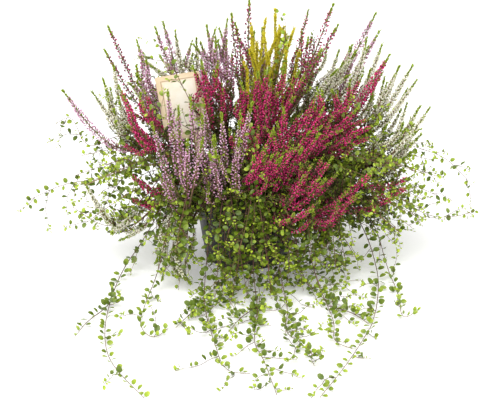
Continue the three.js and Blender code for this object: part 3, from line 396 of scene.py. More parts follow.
def spot_at(way, stops):
    """Places at distances along a way."""
    run = run_along(way)
    return np.stack([np.interp(stops, run, way[:, k]) for k in range(3)], -1)


def even_steps(line):
    """The same line, walked in even steps."""
    total = run_along(line)[-1]
    count = max(3, nearest_whole(total / STEP))
    return spot_at(line, np.linspace(0, total, count + 1))


def smooth_way(corners):
    """A bent line with its corners cut a few times."""
    line = np.array(corners, float)
    for _ in range(CORNER_ROUNDS):
        cut = [line[0]]
        for i in range(len(line) - 1):
            if i > 0:
                cut.append(line[i] + (line[i + 1] - line[i]) * CORNER_CUT)
            if i + 2 < len(line):
                cut.append(line[i] + (line[i + 1] - line[i]) * (1 - CORNER_CUT))
        cut.append(line[-1])
        line = np.array(cut)
    return even_steps(line)


print("a way over a corner takes", len(smooth_way([(0, 0, 0), (50, 0, 50), (100, 0, 0)])), "points")

# %% [markdown]
# ## Feet in the soil
# In a real planting each young plant brings its own plug of soil, so the feet stand about a finger's
# width apart and none is in another's place. A grid of feet would show as rows. Instead each foot starts
# on the side that its stem leans to, and feet that are too close push each other apart, many times over.

# %% Feet spread over the soil
FOOT_SPACING, STAKE_SPACING, FOOT_CIRCLE = 9.5, 11.5, 58
FOOT_ROUNDS = 400
FOOT_SHARE = 0.67
TINY = 1e-6


def spread_feet(wanted):
    """Pushes feet apart until each has room, off the label's stake and inside the pot."""
    feet = [list(foot) for foot in wanted]
    for _ in range(FOOT_ROUNDS):
        for i, one in enumerate(feet):
            for other in feet[i + 1 :]:
                dx, dy = other[0] - one[0], other[1] - one[1]
                if abs(dx) >= FOOT_SPACING or abs(dy) >= FOOT_SPACING:
                    continue
                apart = math.sqrt(dx * dx + dy * dy) + TINY
                if apart < FOOT_SPACING:
                    push = 0.5 * (FOOT_SPACING - apart) / apart
                    one[0] -= dx * push
                    one[1] -= dy * push
                    other[0] += dx * push
                    other[1] += dy * push
            sx, sy = one[0] - LABEL_FOOT[0], one[1] - LABEL_FOOT[1]
            stake = math.sqrt(sx * sx + sy * sy) + TINY
            if stake < STAKE_SPACING:
                one[0] += sx * (STAKE_SPACING - stake) / stake
                one[1] += sy * (STAKE_SPACING - stake) / stake
            out = math.sqrt(one[0] * one[0] + one[1] * one[1])
            if out > FOOT_CIRCLE:
                one[0] *= FOOT_CIRCLE / out
                one[1] *= FOOT_CIRCLE / out
    return feet


feet = spread_feet(
    [[points[0][0] * FOOT_SHARE, points[0][1] * FOOT_SHARE] for _, points, _ in SPRAYS]
    + [foot for foot, _, _ in VINES]
)
print("feet:", len(feet), "furthest out", round(max(math.hypot(*foot) for foot in feet), 1), "mm")

# %% [markdown]
# ## Stems, side shoots and how far their flowers reach
# A heather stem comes straight up out of the soil and then leans out, and its side shoots leave it at a
# fork and run along with it for a while before they part. Each shoot carries its flowers on its upper
# part, in a spike that swells a little and tapers to a green tip. That reach is worked out here first,
# because the stems have to leave each other room for it.

# %% The reach of a spike
FOOT_STEPS = 4
STRAIGHT_NECK, FIRST_LEAN, FIRST_RISE = 8, 0.12, 14
STEM_RADIUS = 1.8
SPIKE_SHARE = 0.68
GREEN_TIP_REACH = 2.4
SWELL_FROM, SWELL_LENGTH = 0.45, 30
TAPER_TO, TAPER_LENGTH = 0.5, 60
VINE_REACH = 1.8


def stem_start(foot, towards):
    """A stem rises straight out of the soil, then leans over."""
    low = np.array([foot[0], foot[1], SOIL_TOP - HOLE_DEPTH + SEAT_GAP])
    high = np.array([foot[0], foot[1], SOIL_TOP + STRAIGHT_NECK])
    lean = high + (np.array(towards) - high) * FIRST_LEAN + (0, 0, FIRST_RISE)
    return [low, high, lean]


def spike_reach(kind, way):
    """How far a shoot's flowers stand out at each step: swelling, then tapering to the green tip."""
    spec = KINDS[kind]
    spike = min(spec["spike"], (len(way) - 1) * STEP * SPIKE_SHARE)
    left = (len(way) - 1 - np.arange(len(way))) * STEP
    swell = np.minimum(1, SWELL_FROM + (spike - left) / SWELL_LENGTH)
    taper = np.minimum(1, TAPER_TO + (left - spec["tip"]) / TAPER_LENGTH)
    reach = spec["reach"] * swell * taper
    reach = np.where(left < spec["tip"], GREEN_TIP_REACH, reach)
    return np.where(left > spike, STEM_RADIUS, reach)


def first_bloom_step(kind, way):
    last = len(way) - 1
    return nearest_whole(last - min(KINDS[kind]["spike"] / STEP, last * SPIKE_SHARE))


print("the first spray leans from", [round(float(c), 1) for c in stem_start(feet[0], SPRAYS[0][1][0])[2]])

# %% Stems before they settle
KNEE_STEPS, KNEE_PULL, SHOULDER = 6, 0.35, 0.3
FIRST_FORK, LEAD = FOOT_STEPS + 2, 15
stems = []


def nearest_step(way, point):
    """The step of a vine at which a side stem leaves it, so that it reaches its first point at a slant."""
    apart = np.linalg.norm(way[FIRST_FORK:] - np.array(point, float), axis=1)
    return max(FIRST_FORK, FIRST_FORK + int(np.argmin(apart)) - nearest_whole(LEAD / STEP))


def add_stem(owner, kind, way, root=None):
    """Keeps a stem and returns its number. A side stem's root is its stem's number and step."""
    reach = np.full(len(way), VINE_REACH) if kind == "vine" else spike_reach(kind, way)
    stems.append({"owner": owner, "kind": kind, "way": way, "root": root, "reach": reach})
    return len(stems) - 1


for number, (kind, points, tips) in enumerate(SPRAYS):
    main = smooth_way(stem_start(feet[number], points[0]) + points + [tips[0]])
    trunk = add_stem(number, kind, main)
    bare = first_bloom_step(kind, main) - FOOT_STEPS - 2
    last = np.array(points[-1], float)
    for k, tip in enumerate(tips[1:]):
        fork = FOOT_STEPS + 1 + nearest_whole(bare * (k + 1) / len(tips))
        knee = main[min(fork + KNEE_STEPS, len(main) - 3)]
        shoulder = last + (np.array(tip, float) - last) * SHOULDER
        side = smooth_way([main[fork], knee + (last - knee) * KNEE_PULL, shoulder, tip])
        add_stem(number, kind, side, (trunk, fork))
for number, (_, points, sides) in enumerate(VINES, len(SPRAYS)):
    main = smooth_way(stem_start(feet[number], points[0]) + points)
    trunk = add_stem(number, "vine", main)
    for side in sides:
        fork = nearest_step(main, side[0])
        add_stem(number, "vine", smooth_way([main[fork]] + side), (trunk, fork))
print("stems:", len(stems), "steps:", sum(len(stem["way"]) for stem in stems))

# %% [markdown]
# ## Settling the stems
# Real stems never grow through each other, through the label or through the pot. They could be moved by
# hand until nothing touches, but there are 146 of them. So each stem is a row of beads, and beads that
# are too close push each other aside a little, again and again. Every push is shared with the beads next
# to it, so that a stem bends and does not kink. The solids were settled by the same sums.

# %% What the stems keep clear of
LABEL_REACH = 3.4
PANEL_COLUMNS, PANEL_ROWS = 8, 12
STAKE_FROM, STAKE_STRIDE, STAKE_SIDE = 2, 5, 3
lean_turn = np.array([
    [math.cos(-LABEL_LEAN), 0, math.sin(-LABEL_LEAN)],
    [0, 1, 0],
    [-math.sin(-LABEL_LEAN), 0, math.cos(-LABEL_LEAN)],
])
tilt_turn = np.array([
    [1, 0, 0],
    [0, math.cos(-LABEL_TILT), -math.sin(-LABEL_TILT)],
    [0, math.sin(-LABEL_TILT), math.cos(-LABEL_TILT)],
])
LABEL_TURN = tilt_turn @ lean_turn


def on_label(u, w, v):
    """A point of the label: across, through and up from its foot in the soil."""
    return np.array([u, w, v]) @ LABEL_TURN.T + (LABEL_FOOT[0], LABEL_FOOT[1], SOIL_TOP)


panel_low = PANEL_BOTTOM - SOIL_TOP
label_points = []
for i in range(PANEL_COLUMNS + 1):
    across = PANEL_ASIDE + LABEL_WIDTH * (i / PANEL_COLUMNS - 0.5)
    for j in range(PANEL_ROWS + 1):
        label_points.append(on_label(across, 0, panel_low + LABEL_HEIGHT * j / PANEL_ROWS))
for height in range(STAKE_FROM, panel_low, STAKE_STRIDE):
    label_points += [on_label(-STAKE_SIDE, 0, height), on_label(STAKE_SIDE, 0, height)]
label_points = np.array(label_points)
print("label points:", len(label_points))

# %% The stems as rows of beads
FREE_FROM = FOOT_STEPS - 1
PUSH_GAIN, HELD_STEPS = 1.3, 4
NOWHERE = 99

at = 0
for stem in stems:
    stem["start"] = at
    at += len(stem["way"])
moving, fixed_count = at, len(label_points)
lengths = [len(stem["way"]) for stem in stems]


def for_each_bead(values, label_value):
    """One value per stem, repeated for each of its beads, and then a value for the label's points."""
    return np.concatenate([np.repeat(values, lengths), np.full(fixed_count, label_value)])


place = np.concatenate([stem["way"] for stem in stems] + [label_points])
reach = np.concatenate([stem["reach"] for stem in stems] + [np.full(fixed_count, LABEL_REACH)])
whose = for_each_bead(np.arange(len(stems)), -1)
owner = for_each_bead([stem["owner"] for stem in stems], -1)
is_side = for_each_bead([stem["root"] is not None for stem in stems], False)
step_of = np.concatenate([np.arange(n) for n in lengths] + [np.full(fixed_count, NOWHERE)])
first = for_each_bead([stem["start"] for stem in stems], 0)[:moving]
final = for_each_bead([stem["start"] + len(stem["way"]) - 1 for stem in stems], 0)[:moving]
before = np.maximum(first, np.arange(moving) - 1)
after = np.minimum(final, np.arange(moving) + 1)
free = np.where(is_side[:moving], step_of[:moving], np.maximum(0, step_of[:moving] - FREE_FROM))
gain = (PUSH_GAIN * np.minimum(1, free / HELD_STEPS))[:, None]
print("beads that move:", moving, "and that stand:", fixed_count)

# %% What pushes a bead
LIST_MARGIN, ROOT_ZONE = 7, 3
CLEARANCE = 0.8
WALL_KEEP, FLOOR_KEEP = 3, 0.6


def near_pairs():
    """Pairs of beads that lie near each other, apart from where a side shoot grows from its stem."""
    square = (place * place).sum(1)
    apart = square[:, None] + square[None, :] - 2 * place @ place.T
    limit = reach[:, None] + reach[None, :] + CLEARANCE + LIST_MARGIN
    a, b = np.nonzero(np.triu(apart < limit * limit, 1))
    keep = (a < moving) & (whose[a] != whose[b])
    a, b = a[keep], b[keep]
    swap = is_side[a]
    from_step, side_step = np.where(swap, step_of[b], step_of[a]), np.where(swap, step_of[a], step_of[b])
    from_side = np.where(swap, is_side[b], is_side[a])
    forked = (side_step <= ROOT_ZONE) | (from_side & (from_step <= ROOT_ZONE))
    keep = ~((owner[a] == owner[b]) & forked)
    return a[keep], b[keep]


def pot_push():
    """What keeps each bead above the table and off the pot's wall."""
    spot, wide = place[:moving], reach[:moving]
    push = np.zeros((moving, 3))
    push[:, 2] += np.maximum(0, wide + FLOOR_KEEP - spot[:, 2])
    out = np.hypot(spot[:, 0], spot[:, 1]) + TINY
    up = np.clip(spot[:, 2] / POT_HEIGHT, 0, 1)
    wall = POT_FOOT_RADIUS + (POT_TOP_RADIUS - POT_FOOT_RADIUS) * up
    dr, dz = out - (wall - POT_WALL / 2), spot[:, 2] - up * POT_HEIGHT
    d = np.hypot(dr, dz) + TINY
    short = np.where(step_of[:moving] < FOOT_STEPS, 0, np.maximum(0, wide + WALL_KEEP - d))
    push[:, 0] += dr / d * short * spot[:, 0] / out
    push[:, 1] += dr / d * short * spot[:, 1] / out
    push[:, 2] += dz / d * short
    return push


print("pairs that start out near each other:", len(near_pairs()[0]))

# %% Settle the stems
ROUNDS, LIST_ROUNDS = 240, 8
SPREAD_ROUNDS, ROOT_STEPS = 3, 5

for turn in range(ROUNDS):
    if turn % LIST_ROUNDS == 0:
        one, two = near_pairs()
        fixed = two >= moving
    gap = place[two] - place[one]
    d = np.linalg.norm(gap, axis=1) + TINY
    short = np.maximum(0, reach[one] + reach[two] + CLEARANCE - d)
    move = gap * (short / d * np.where(fixed, 1, 0.5))[:, None]
    push = pot_push()
    for k in range(3):
        push[:, k] -= np.bincount(one, move[:, k], moving)[:moving]
        push[:, k] += np.bincount(two[~fixed], move[~fixed, k], moving)[:moving]
    for _ in range(SPREAD_ROUNDS):
        push = 0.25 * push[before] + 0.5 * push + 0.25 * push[after]
    place[:moving] += push * gain
    for stem in stems:
        if stem["root"]:
            seat = place[stems[stem["root"][0]]["start"] + stem["root"][1]]
            shift = seat - place[stem["start"]]
            for i in range(ROOT_STEPS):
                place[stem["start"] + i] += shift * (1 - i / ROOT_STEPS)
for stem in stems:
    stem["way"] = place[stem["start"] : stem["start"] + len(stem["way"])].copy()
print("pairs still near each other, with room between them:", len(one))


# %% Compare the stems with the solids
def node_name(number):
    """The solid that a spray or vine stands for."""
    if number < len(SPRAYS):
        return f"heather_{number + 1:02d}_{SPRAYS[number][0]}"
    return f"wire_vine_{number - len(SPRAYS) + 1:02d}"


stray = 0
for stem in stems:
    low, high = (np.array(corner) * 1000 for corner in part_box(node_name(stem["owner"])))
    stray = max(stray, float((low - stem["way"]).max()), float((stem["way"] - high).max()))
print("furthest that a settled stem leaves its solid's box:", round(stray, 3), "mm")

# %% [markdown]
# ## Many small shapes in one mesh
# A spray carries hundreds of buds and leaves. Each is a copy of one small closed shape, so a spray is made
# by stretching, turning and placing copies with whole arrays of numbers, which takes a moment where
# adding objects one by one would take an hour. Every point of a copy remembers three marks: the copy's
# own tint, how far along the copy it lies, and how far round. The finishes read those marks, so two
# neighbouring buds differ in colour and each one is darker at its foot than at its tip.


# %% Gathering shapes
TWIG, LEAF, BLOOM = 0, 1, 2


class Bunch:
    """The points, faces and marks of many shapes, gathered to make one piece."""

    def __init__(self):
        self.points, self.marks, self.corners, self.sizes, self.wears = [], [], [], [], []
        self.total = 0

    def put(self, points, marks, wear, *face_groups):
        """Points with their marks, and groups of faces on them. What they wear is a finish's number."""
        self.points.append(points)
        self.marks.append(marks)
        for corners in face_groups:
            self.corners.append((corners + self.total).ravel())
            self.sizes.append(np.full(len(corners), corners.shape[1]))
            self.wears.append(np.full(len(corners), wear))
        self.total += len(points)


print("finishes on a spray, by number: twig", TWIG, "leaf", LEAF, "bloom", BLOOM)

# %% Making a piece
# The map for the finishes: a row for each finish, the tint across it and the length up it.
MAP_EDGE, MAP_TINT, MAP_ROUND = 0.01, 0.94, 0.04
MAP_ROWS, MAP_ROW_EDGE, MAP_LONG = 3, 0.015, 0.3
METRES = 0.001


def make_piece(name, bunch, finishes, smooth=True, own_map=True, crisp=None):
    """One object from a bunch, with its marks as attributes. The finish named crisp keeps flat faces."""
    mesh = bpy.data.meshes.new(name)
    points = np.concatenate(bunch.points) * METRES
    marks = np.concatenate(bunch.marks)
    corners = np.concatenate(bunch.corners).astype(np.int32)
    sizes = np.concatenate(bunch.sizes).astype(np.int32)
    wears = np.concatenate(bunch.wears).astype(np.int32)
    starts = np.concatenate([[0], np.cumsum(sizes)[:-1]]).astype(np.int32)
    mesh.vertices.add(len(points))
    mesh.vertices.foreach_set("co", points.astype(np.float32).ravel())
    mesh.loops.add(len(corners))
    mesh.loops.foreach_set("vertex_index", corners)
    mesh.polygons.add(len(sizes))
    mesh.polygons.foreach_set("loop_start", starts)
    mesh.update(calc_edges=True)
    for finish in finishes:
        mesh.materials.append(finish)
    mesh.polygons.foreach_set("material_index", wears)
    rounded = np.full(len(sizes), smooth)
    if crisp is not None:
        rounded &= wears != crisp
    mesh.polygons.foreach_set("use_smooth", rounded)
    for k, mark in enumerate(("tint", "along", "round")):
        attribute = mesh.attributes.new(mark, "FLOAT", "POINT")
        attribute.data.foreach_set("value", marks[:, k].astype(np.float32))
    if own_map:
        u = MAP_EDGE + MAP_TINT * marks[corners, 0] + MAP_ROUND * marks[corners, 2]
        v = np.repeat(wears, sizes) / MAP_ROWS + MAP_ROW_EDGE + MAP_LONG * marks[corners, 1]
        spots = np.stack([u, v], 1).astype(np.float32).ravel()
        mesh.uv_layers.new(name="OFBake").uv.foreach_set("vector", spots)
    piece = bpy.data.objects.new(name, mesh)
    bpy.context.scene.collection.objects.link(piece)
    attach(piece, "root")
    return piece, int((sizes - 2).sum())


print("a piece is made in metres, from points in millimetres:", METRES)

# %% Copies of one shape
NO_LENGTH = 1e-9


def unit(rows):
    return rows / (np.linalg.norm(rows, axis=-1, keepdims=True) + NO_LENGTH)


def scatter(bunch, shape, at, ahead, across, long, wide, thick, tint, wear):
    """Copies of a shape: each at a place, pointing ahead, turned to face across, with its own size."""
    points, corners, along, round_mark = shape
    x = unit(across - ahead * (across * ahead).sum(1, keepdims=True))
    y = np.cross(ahead, x)
    n, m = len(at), len(points)
    placed = (
        at[:, None, :]
        + (points[None, :, 0, None] * np.asarray(wide)[:, None, None]) * x[:, None, :]
        + (points[None, :, 1, None] * np.asarray(thick)[:, None, None]) * y[:, None, :]
        + (points[None, :, 2, None] * np.asarray(long)[:, None, None]) * ahead[:, None, :]
    ).reshape(-1, 3)
    marks = np.stack([np.repeat(np.clip(tint, 0, 1), m), np.tile(along, n), np.tile(round_mark, n)], 1)
    faces = (corners[None] + (np.arange(n) * m)[:, None, None]).reshape(-1, corners.shape[1])
    bunch.put(placed, marks, wear, faces)


print("a direction is one long:", unit(np.array([3.0, 4.0, 0.0])).round(3))

# %% A bud and a scale leaf
BUD_PROFILE = [(0, 0), (0.64, 0.5), (1, 0)]
BUD_SIDES = 4


def spun(profile, sides):
    """A small closed shape turned round its own length: rows of (place along, radius)."""
    points, along, round_mark, corners = [(0, 0, profile[0][0])], [0.0], [0.5], []
    for height, radius in profile[1:-1]:
        for k in range(sides):
            angle = 2 * math.pi * k / sides
            points.append((radius * math.cos(angle), radius * math.sin(angle), height))
            along.append(height)
            round_mark.append(abs(2 * k / sides - 1))
    points.append((0, 0, profile[-1][0]))
    along.append(1.0)
    round_mark.append(0.5)
    tip = len(points) - 1
    rings = len(profile) - 2
    for k in range(sides):
        nxt = (k + 1) % sides
        corners.append((0, 1 + nxt, 1 + k))
        for ring in range(rings - 1):
            a, b = 1 + ring * sides, 1 + (ring + 1) * sides
            corners.append((a + k, a + nxt, b + nxt))
            corners.append((a + k, b + nxt, b + k))
        top = 1 + (rings - 1) * sides
        corners.append((top + k, top + nxt, tip))
    return np.array(points, float), np.array(corners), np.array(along), np.array(round_mark)


def needle():
    """The smallest closed leaf: a foot, a point and an edge to each side, with one side raised."""
    points = np.array([(0, 0, 0), (0.5, 0.35, 0.42), (-0.5, 0.35, 0.42), (0, -0.2, 1)], float)
    faces = np.array([(0, 1, 2), (1, 3, 2), (0, 3, 1), (0, 2, 3)])
    return points, faces, points[:, 2], np.array([0.5, 1, 1, 0.5])


BUD = spun(BUD_PROFILE, BUD_SIDES)
SCALE_LEAF = needle()
print("bud triangles:", len(BUD[1]), "scale leaf triangles:", len(SCALE_LEAF[1]))


# %% Walking along a stem
def frames_along(way):
    """A side direction at each step that turns as little as possible from one to the next."""
    ahead = unit(np.gradient(way, axis=0))
    side = np.zeros_like(way)
    now = np.array([1.0, 0.0, 0.0]) if abs(ahead[0][0]) < 0.9 else np.array([0.0, 1.0, 0.0])
    for i, t in enumerate(ahead):
        now = now - t * float(now @ t)
        now = now / (math.sqrt(float(now @ now)) + NO_LENGTH)
        side[i] = now
    return ahead, side


def walk(way, stops):
    """Places at distances along a way, with the direction ahead and two directions to the side."""
    run = run_along(way)
    ahead, side = frames_along(way)
    t = unit(np.stack([np.interp(stops, run, ahead[:, k]) for k in range(3)], 1))
    s = np.stack([np.interp(stops, run, side[:, k]) for k in range(3)], 1)
    s = unit(s - t * (s * t).sum(1, keepdims=True))
    return spot_at(way, stops), t, s, np.cross(t, s)


def length_of(way):
    return float(np.linalg.norm(np.diff(way, axis=0), axis=1).sum())


def around(side, other, angle):
    """Directions to the side of a stem, at an angle round it."""
    return side * np.cos(angle)[:, None] + other * np.sin(angle)[:, None]


print("the longest stem is", round(max(length_of(stem["way"]) for stem in stems)), "mm")


# %% Tubes for twigs and wires
def round_skin(rings, sides):
    """Faces over rings of points that are closed by a point at each end, last in the list of points."""
    k = np.arange(sides)
    nxt = (k + 1) % sides
    row = (np.arange(rings - 1) * sides)[:, None]
    quads = np.stack([row + k, row + nxt, row + sides + nxt, row + sides + k], -1).reshape(-1, 4)
    foot, tip, top = rings * sides, rings * sides + 1, (rings - 1) * sides
    caps = np.concatenate([
        np.stack([np.full(sides, foot), nxt, k], 1),
        np.stack([top + k, top + nxt, np.full(sides, tip)], 1),
    ])
    return quads, caps


def add_tube(bunch, way, radii, sides, tint):
    """A closed round stem along a way, drawn to a point at both ends."""
    ahead, side = frames_along(way)
    other = np.cross(ahead, side)
    n = len(way)
    angles = (np.arange(sides) * 2 * math.pi / sides)[None, :, None]
    ring = np.cos(angles) * side[:, None, :] + np.sin(angles) * other[:, None, :]
    points = (way[:, None, :] + ring * np.asarray(radii)[:, None, None]).reshape(-1, 3)
    points = np.concatenate([points, [way[0] - ahead[0] * radii[0] * 0.5, way[-1] + ahead[-1] * radii[-1]]])
    along = np.concatenate([np.repeat(np.linspace(0, 1, n), sides), [0, 1]])
    round_mark = np.concatenate([np.tile(np.abs(2 * np.arange(sides) / sides - 1), n), [0.5, 0.5]])
    marks = np.stack([np.full(len(points), tint), along, round_mark], 1)
    bunch.put(points, marks, TWIG, *round_skin(n, sides))


print("a tube of 10 rings and 3 sides has", sum(len(faces) for faces in round_skin(10, 3)), "faces")

# %% [markdown]
# ## The finishes of the plants
# Heather buds are never one flat pink. Each starts in a green and brown calyx, darkens into its own
# colour and is palest where the light passes through its tip, and every bud on a spike has its own tint.
# The finishes are made of ramps that read the marks, with a fine noise over them, and no picture is used.


# %% A finish that reads the marks
MARK_STRETCH = {"tint": 40, "along": 3, "round": 1.5}
GRAIN_SCALE, GRAIN_RELIEF = 2.0, 0.0002


def mark(tree, name):
    node = tree.nodes.new("ShaderNodeAttribute")
    node.attribute_name = name
    return node.outputs["Fac"]


def mark_place(tree):
    """A place made of the three marks, so that a pattern stays with its own bud or leaf."""
    node = tree.nodes.new("ShaderNodeCombineXYZ")
    for socket, (name, stretch) in zip(node.inputs, MARK_STRETCH.items()):
        tree.links.new(worked_out(tree, "MULTIPLY", mark(tree, name), stretch), socket)
    return node.outputs[0]


def grown_finish(name, dark, light, roughness, fleck=0.25, specular=0.3):
    """A finish for a small grown shape: two ramps along it, mixed by the copy's tint."""
    finish, tree, shader = new_finish(name, roughness, specular)
    along = mark(tree, "along")
    darkest, lightest = (ramp(tree, along, shades(*stops)) for stops in (dark, light))
    colour = mixed(tree, mark(tree, "tint"), darkest, lightest)
    grain = noise(tree, mark_place(tree), GRAIN_SCALE)
    shade = in_range(tree, grain, 1 - fleck, 1 + fleck * 0.6)
    tree.links.new(mixed(tree, 1.0, colour, shade, "MULTIPLY"), shader.inputs["Base Color"])
    tree.links.new(in_range(tree, grain, roughness - 0.1, roughness + 0.12), shader.inputs["Roughness"])
    bump(tree, shader, grain, GRAIN_RELIEF)
    return finish


print("marks that the finishes read:", ", ".join(MARK_STRETCH))

# %% Buds in each colour
# Two ramps each, for the darkest and the lightest bud, from the calyx at 0 to the bud's tip at 1.
BLOOMS = {
    "crimson": grown_finish(
        "crimson_buds",
        [(0, 70, 50, 30), (0.3, 92, 14, 42), (0.75, 136, 14, 62), (1, 182, 40, 104)],
        [(0, 124, 100, 60), (0.3, 204, 32, 98), (0.7, 242, 48, 130), (1, 252, 124, 184)],
        0.5,
    ),
    "lilac": grown_finish(
        "lilac_buds",
        [(0, 84, 60, 44), (0.3, 134, 82, 96), (0.75, 196, 128, 164), (1, 230, 170, 204)],
        [(0, 150, 122, 96), (0.3, 232, 172, 206), (0.7, 250, 200, 230), (1, 255, 238, 248)],
        0.55,
    ),
    "white": grown_finish(
        "white_buds",
        [(0, 110, 126, 56), (0.3, 206, 206, 160), (0.75, 240, 236, 208), (1, 248, 244, 224)],
        [(0, 170, 180, 96), (0.3, 248, 244, 218), (0.7, 255, 252, 238), (1, 255, 253, 244)],
        0.55,
    ),
    "sparse": grown_finish(
        "dusky_bells",
        [(0, 70, 50, 30), (0.3, 92, 22, 44), (0.75, 128, 30, 66), (1, 160, 60, 96)],
        [(0, 110, 90, 50), (0.3, 160, 36, 84), (0.7, 196, 66, 122), (1, 222, 128, 166)],
        0.5,
    ),
    "gold": grown_finish(
        "gold_leaf_tips",
        [(0, 124, 120, 12), (0.5, 196, 182, 18), (1, 220, 206, 30)],
        [(0, 206, 196, 22), (0.5, 244, 228, 34), (1, 255, 244, 90)],
        0.5,
    ),
}
print("bud finishes:", len(BLOOMS))

# %% Leaves, twigs and wires
# The darkest leaf is an old brown one deep inside, darkened further there by painted shade, and the lightest
# a fresh one at a tip.
HEATHER_LEAF = grown_finish(
    "heather_scale_leaf",
    [(0, 34, 26, 14), (0.5, 48, 46, 22), (1, 66, 78, 30)],
    [(0, 120, 150, 30), (0.5, 164, 192, 40), (1, 206, 224, 84)],
    0.5,
)
GOLD_LEAF = grown_finish(
    "gold_scale_leaf",
    [(0, 60, 76, 8), (0.5, 112, 120, 10), (1, 150, 150, 16)],
    [(0, 186, 184, 14), (0.5, 226, 216, 20), (1, 248, 238, 60)],
    0.5,
)
TWIG_BARK = grown_finish(
    "heather_twig_bark",
    [(0, 74, 52, 42), (0.6, 114, 78, 66), (1, 100, 86, 54)],
    [(0, 138, 106, 90), (0.6, 180, 132, 116), (1, 164, 140, 104)],
    0.75,
    fleck=0.4,
)
VINE_LEAF = grown_finish(
    "wire_vine_leaf",
    [(0, 28, 48, 10), (0.3, 36, 62, 12), (1, 58, 92, 20)],
    [(0, 150, 180, 30), (0.4, 172, 200, 44), (1, 206, 220, 70)],
    0.38,
    fleck=0.22,
    specular=0.5,
)
VINE_WIRE = grown_finish(
    "wire_vine_stem",
    [(0, 64, 44, 36), (0.5, 92, 62, 54), (1, 118, 88, 62)],
    [(0, 110, 80, 66), (0.5, 146, 106, 90), (1, 168, 140, 84)],
    0.6,
    fleck=0.3,
)
print("finishes made so far:", len(bpy.data.materials))

# %% [markdown]
# ## Heather spikes
# A heather shoot is a thin twig set all round with buds, each on a short stalk of its own, with a small
# scale leaf beside it, and above them a green tip of new leaves. The buds could sit in rings, but real
# ones follow a spiral, so each is turned by the golden angle from the one before. How far they reach out
# is the reach that the settled stems keep free for them. The lowest buds are the oldest and darkest, and
# they come in gradually, so that a spike has no hard edge at its foot.

# %% Scale leaves up a twig
GOLDEN = math.pi * (3 - math.sqrt(5))
SPIRAL_LOOSE = 0.3
LEAF_LEAN_LOOSE, LEAF_TINT_LOOSE = 0.14, 0.12
LEAF_SIZES = (0.75, 1.2)
LEAF_WIDE, LEAF_THICK = 0.46, 0.26


def leaning(ahead, out, lean):
    """Directions that lean out from the way ahead by an angle."""
    return unit(ahead * np.cos(lean)[:, None] + out * np.sin(lean)[:, None])


def add_scale_leaves(bunch, way, span, count, long, stand, tints, rng, radius=0.4, wear=LEAF):
    """Small pointed leaves up a twig, laid forward along it, younger and lighter towards its tip."""
    start, stop = span
    stops = np.sort(rng.uniform(min(span), max(span), count))
    at, t, s, o = walk(way, stops)
    out = around(s, o, np.arange(count) * GOLDEN + rng.normal(0, SPIRAL_LOOSE, count))
    ahead = leaning(t, out, rng.normal(stand, LEAF_LEAN_LOOSE, count))
    size = long * rng.uniform(*LEAF_SIZES, count)
    share = (stops - start) / max(stop - start, 1)
    tint = tints[0] + (tints[1] - tints[0]) * share + rng.normal(0, LEAF_TINT_LOOSE, count)
    seat, across = at + out * radius, np.cross(t, out)
    scatter(bunch, SCALE_LEAF, seat, ahead, across, size, size * LEAF_WIDE, size * LEAF_THICK, tint, wear)


print("golden turn:", round(math.degrees(GOLDEN), 2), "degrees")

# %% Buds round a spike
# For each millimetre of a spike, how many buds and leaves it has, and a bud's length and width.
PLENTY = {
    "crimson": {"buds": 2.15, "long": 4.1, "wide": 2.15, "leaves": 0.9},
    "lilac": {"buds": 2.3, "long": 3.8, "wide": 1.9, "leaves": 0.9},
    "white": {"buds": 2.7, "long": 3.9, "wide": 2.2, "leaves": 0.8},
    "gold": {"buds": 0.0, "long": 3.4, "wide": 1.2, "leaves": 5.2},
    "sparse": {"buds": 0.75, "long": 4.2, "wide": 2.8, "leaves": 0.8},
}
# Sprays with fewer buds than others of their colour, by number, with the share that they have.
OPEN_SPRAYS = {10: 0.85, 11: 0.8, 12: 0.8, 14: 0.8, 16: 0.8, 17: 0.7, 27: 0.45}
FADE_IN, FEWEST = 26, 0.2
BUD_STOP_LOOSE, BUD_TURN_LOOSE = 0.6, 0.25
BUD_ROOM, BUD_LEAN = (0.72, 1.12), (0.86, 0.16)
BUD_SIZES, BUD_WIDTHS = (0.8, 1.15), (0.85, 1.15)
REACH_SAMPLES = 200


def add_buds(bunch, stem, start, stop, total, rng):
    """Buds in a spiral, each as far out as the settled stem leaves room for."""
    kind, way, plenty = stem["kind"], stem["way"], PLENTY[stem["kind"]]
    count = int((stop - start) * plenty["buds"] * stem.get("share", 1) * OPEN_SPRAYS.get(stem["owner"], 1))
    if not count:
        return
    stops = np.linspace(start, stop, count) + rng.normal(0, BUD_STOP_LOOSE, count)
    angles = np.arange(count) * GOLDEN + rng.normal(0, BUD_TURN_LOOSE, count)
    kept = rng.uniform(0, 1, count) < np.clip((stops - start) / FADE_IN, FEWEST, 1)
    stops, angles, count = stops[kept], angles[kept], int(kept.sum())
    at, t, s, o = walk(way, stops)
    out = around(s, o, angles)
    samples = np.linspace(0, total, REACH_SAMPLES)
    reach_at = np.interp(samples, np.linspace(0, total, len(way)), stem["reach"])
    room = np.interp(stops, samples, reach_at) * rng.uniform(*BUD_ROOM, count)
    lean = rng.normal(*BUD_LEAN, count)
    ahead = leaning(t, out, lean)
    size = np.minimum(plenty["long"] * rng.uniform(*BUD_SIZES, count), room * 1.15 + 0.8)
    depth = np.maximum(0.2, room - size * np.sin(lean))
    wide = size / plenty["long"] * plenty["wide"] * rng.uniform(*BUD_WIDTHS, count)
    ripe = 1 if kind == "white" else np.clip(0.3 + 1.3 * (stops - start) / (stop - start), 0, 1)
    tint = rng.beta(0.9, 0.8, count) * ripe
    foot = at + out * (depth * 0.75)[:, None]
    scatter(bunch, BUD, foot, ahead, np.cross(t, out), size, wide, wide, tint, BLOOM)


print("buds on 10 mm of spike:", {kind: round(10 * row["buds"]) for kind, row in PLENTY.items()})

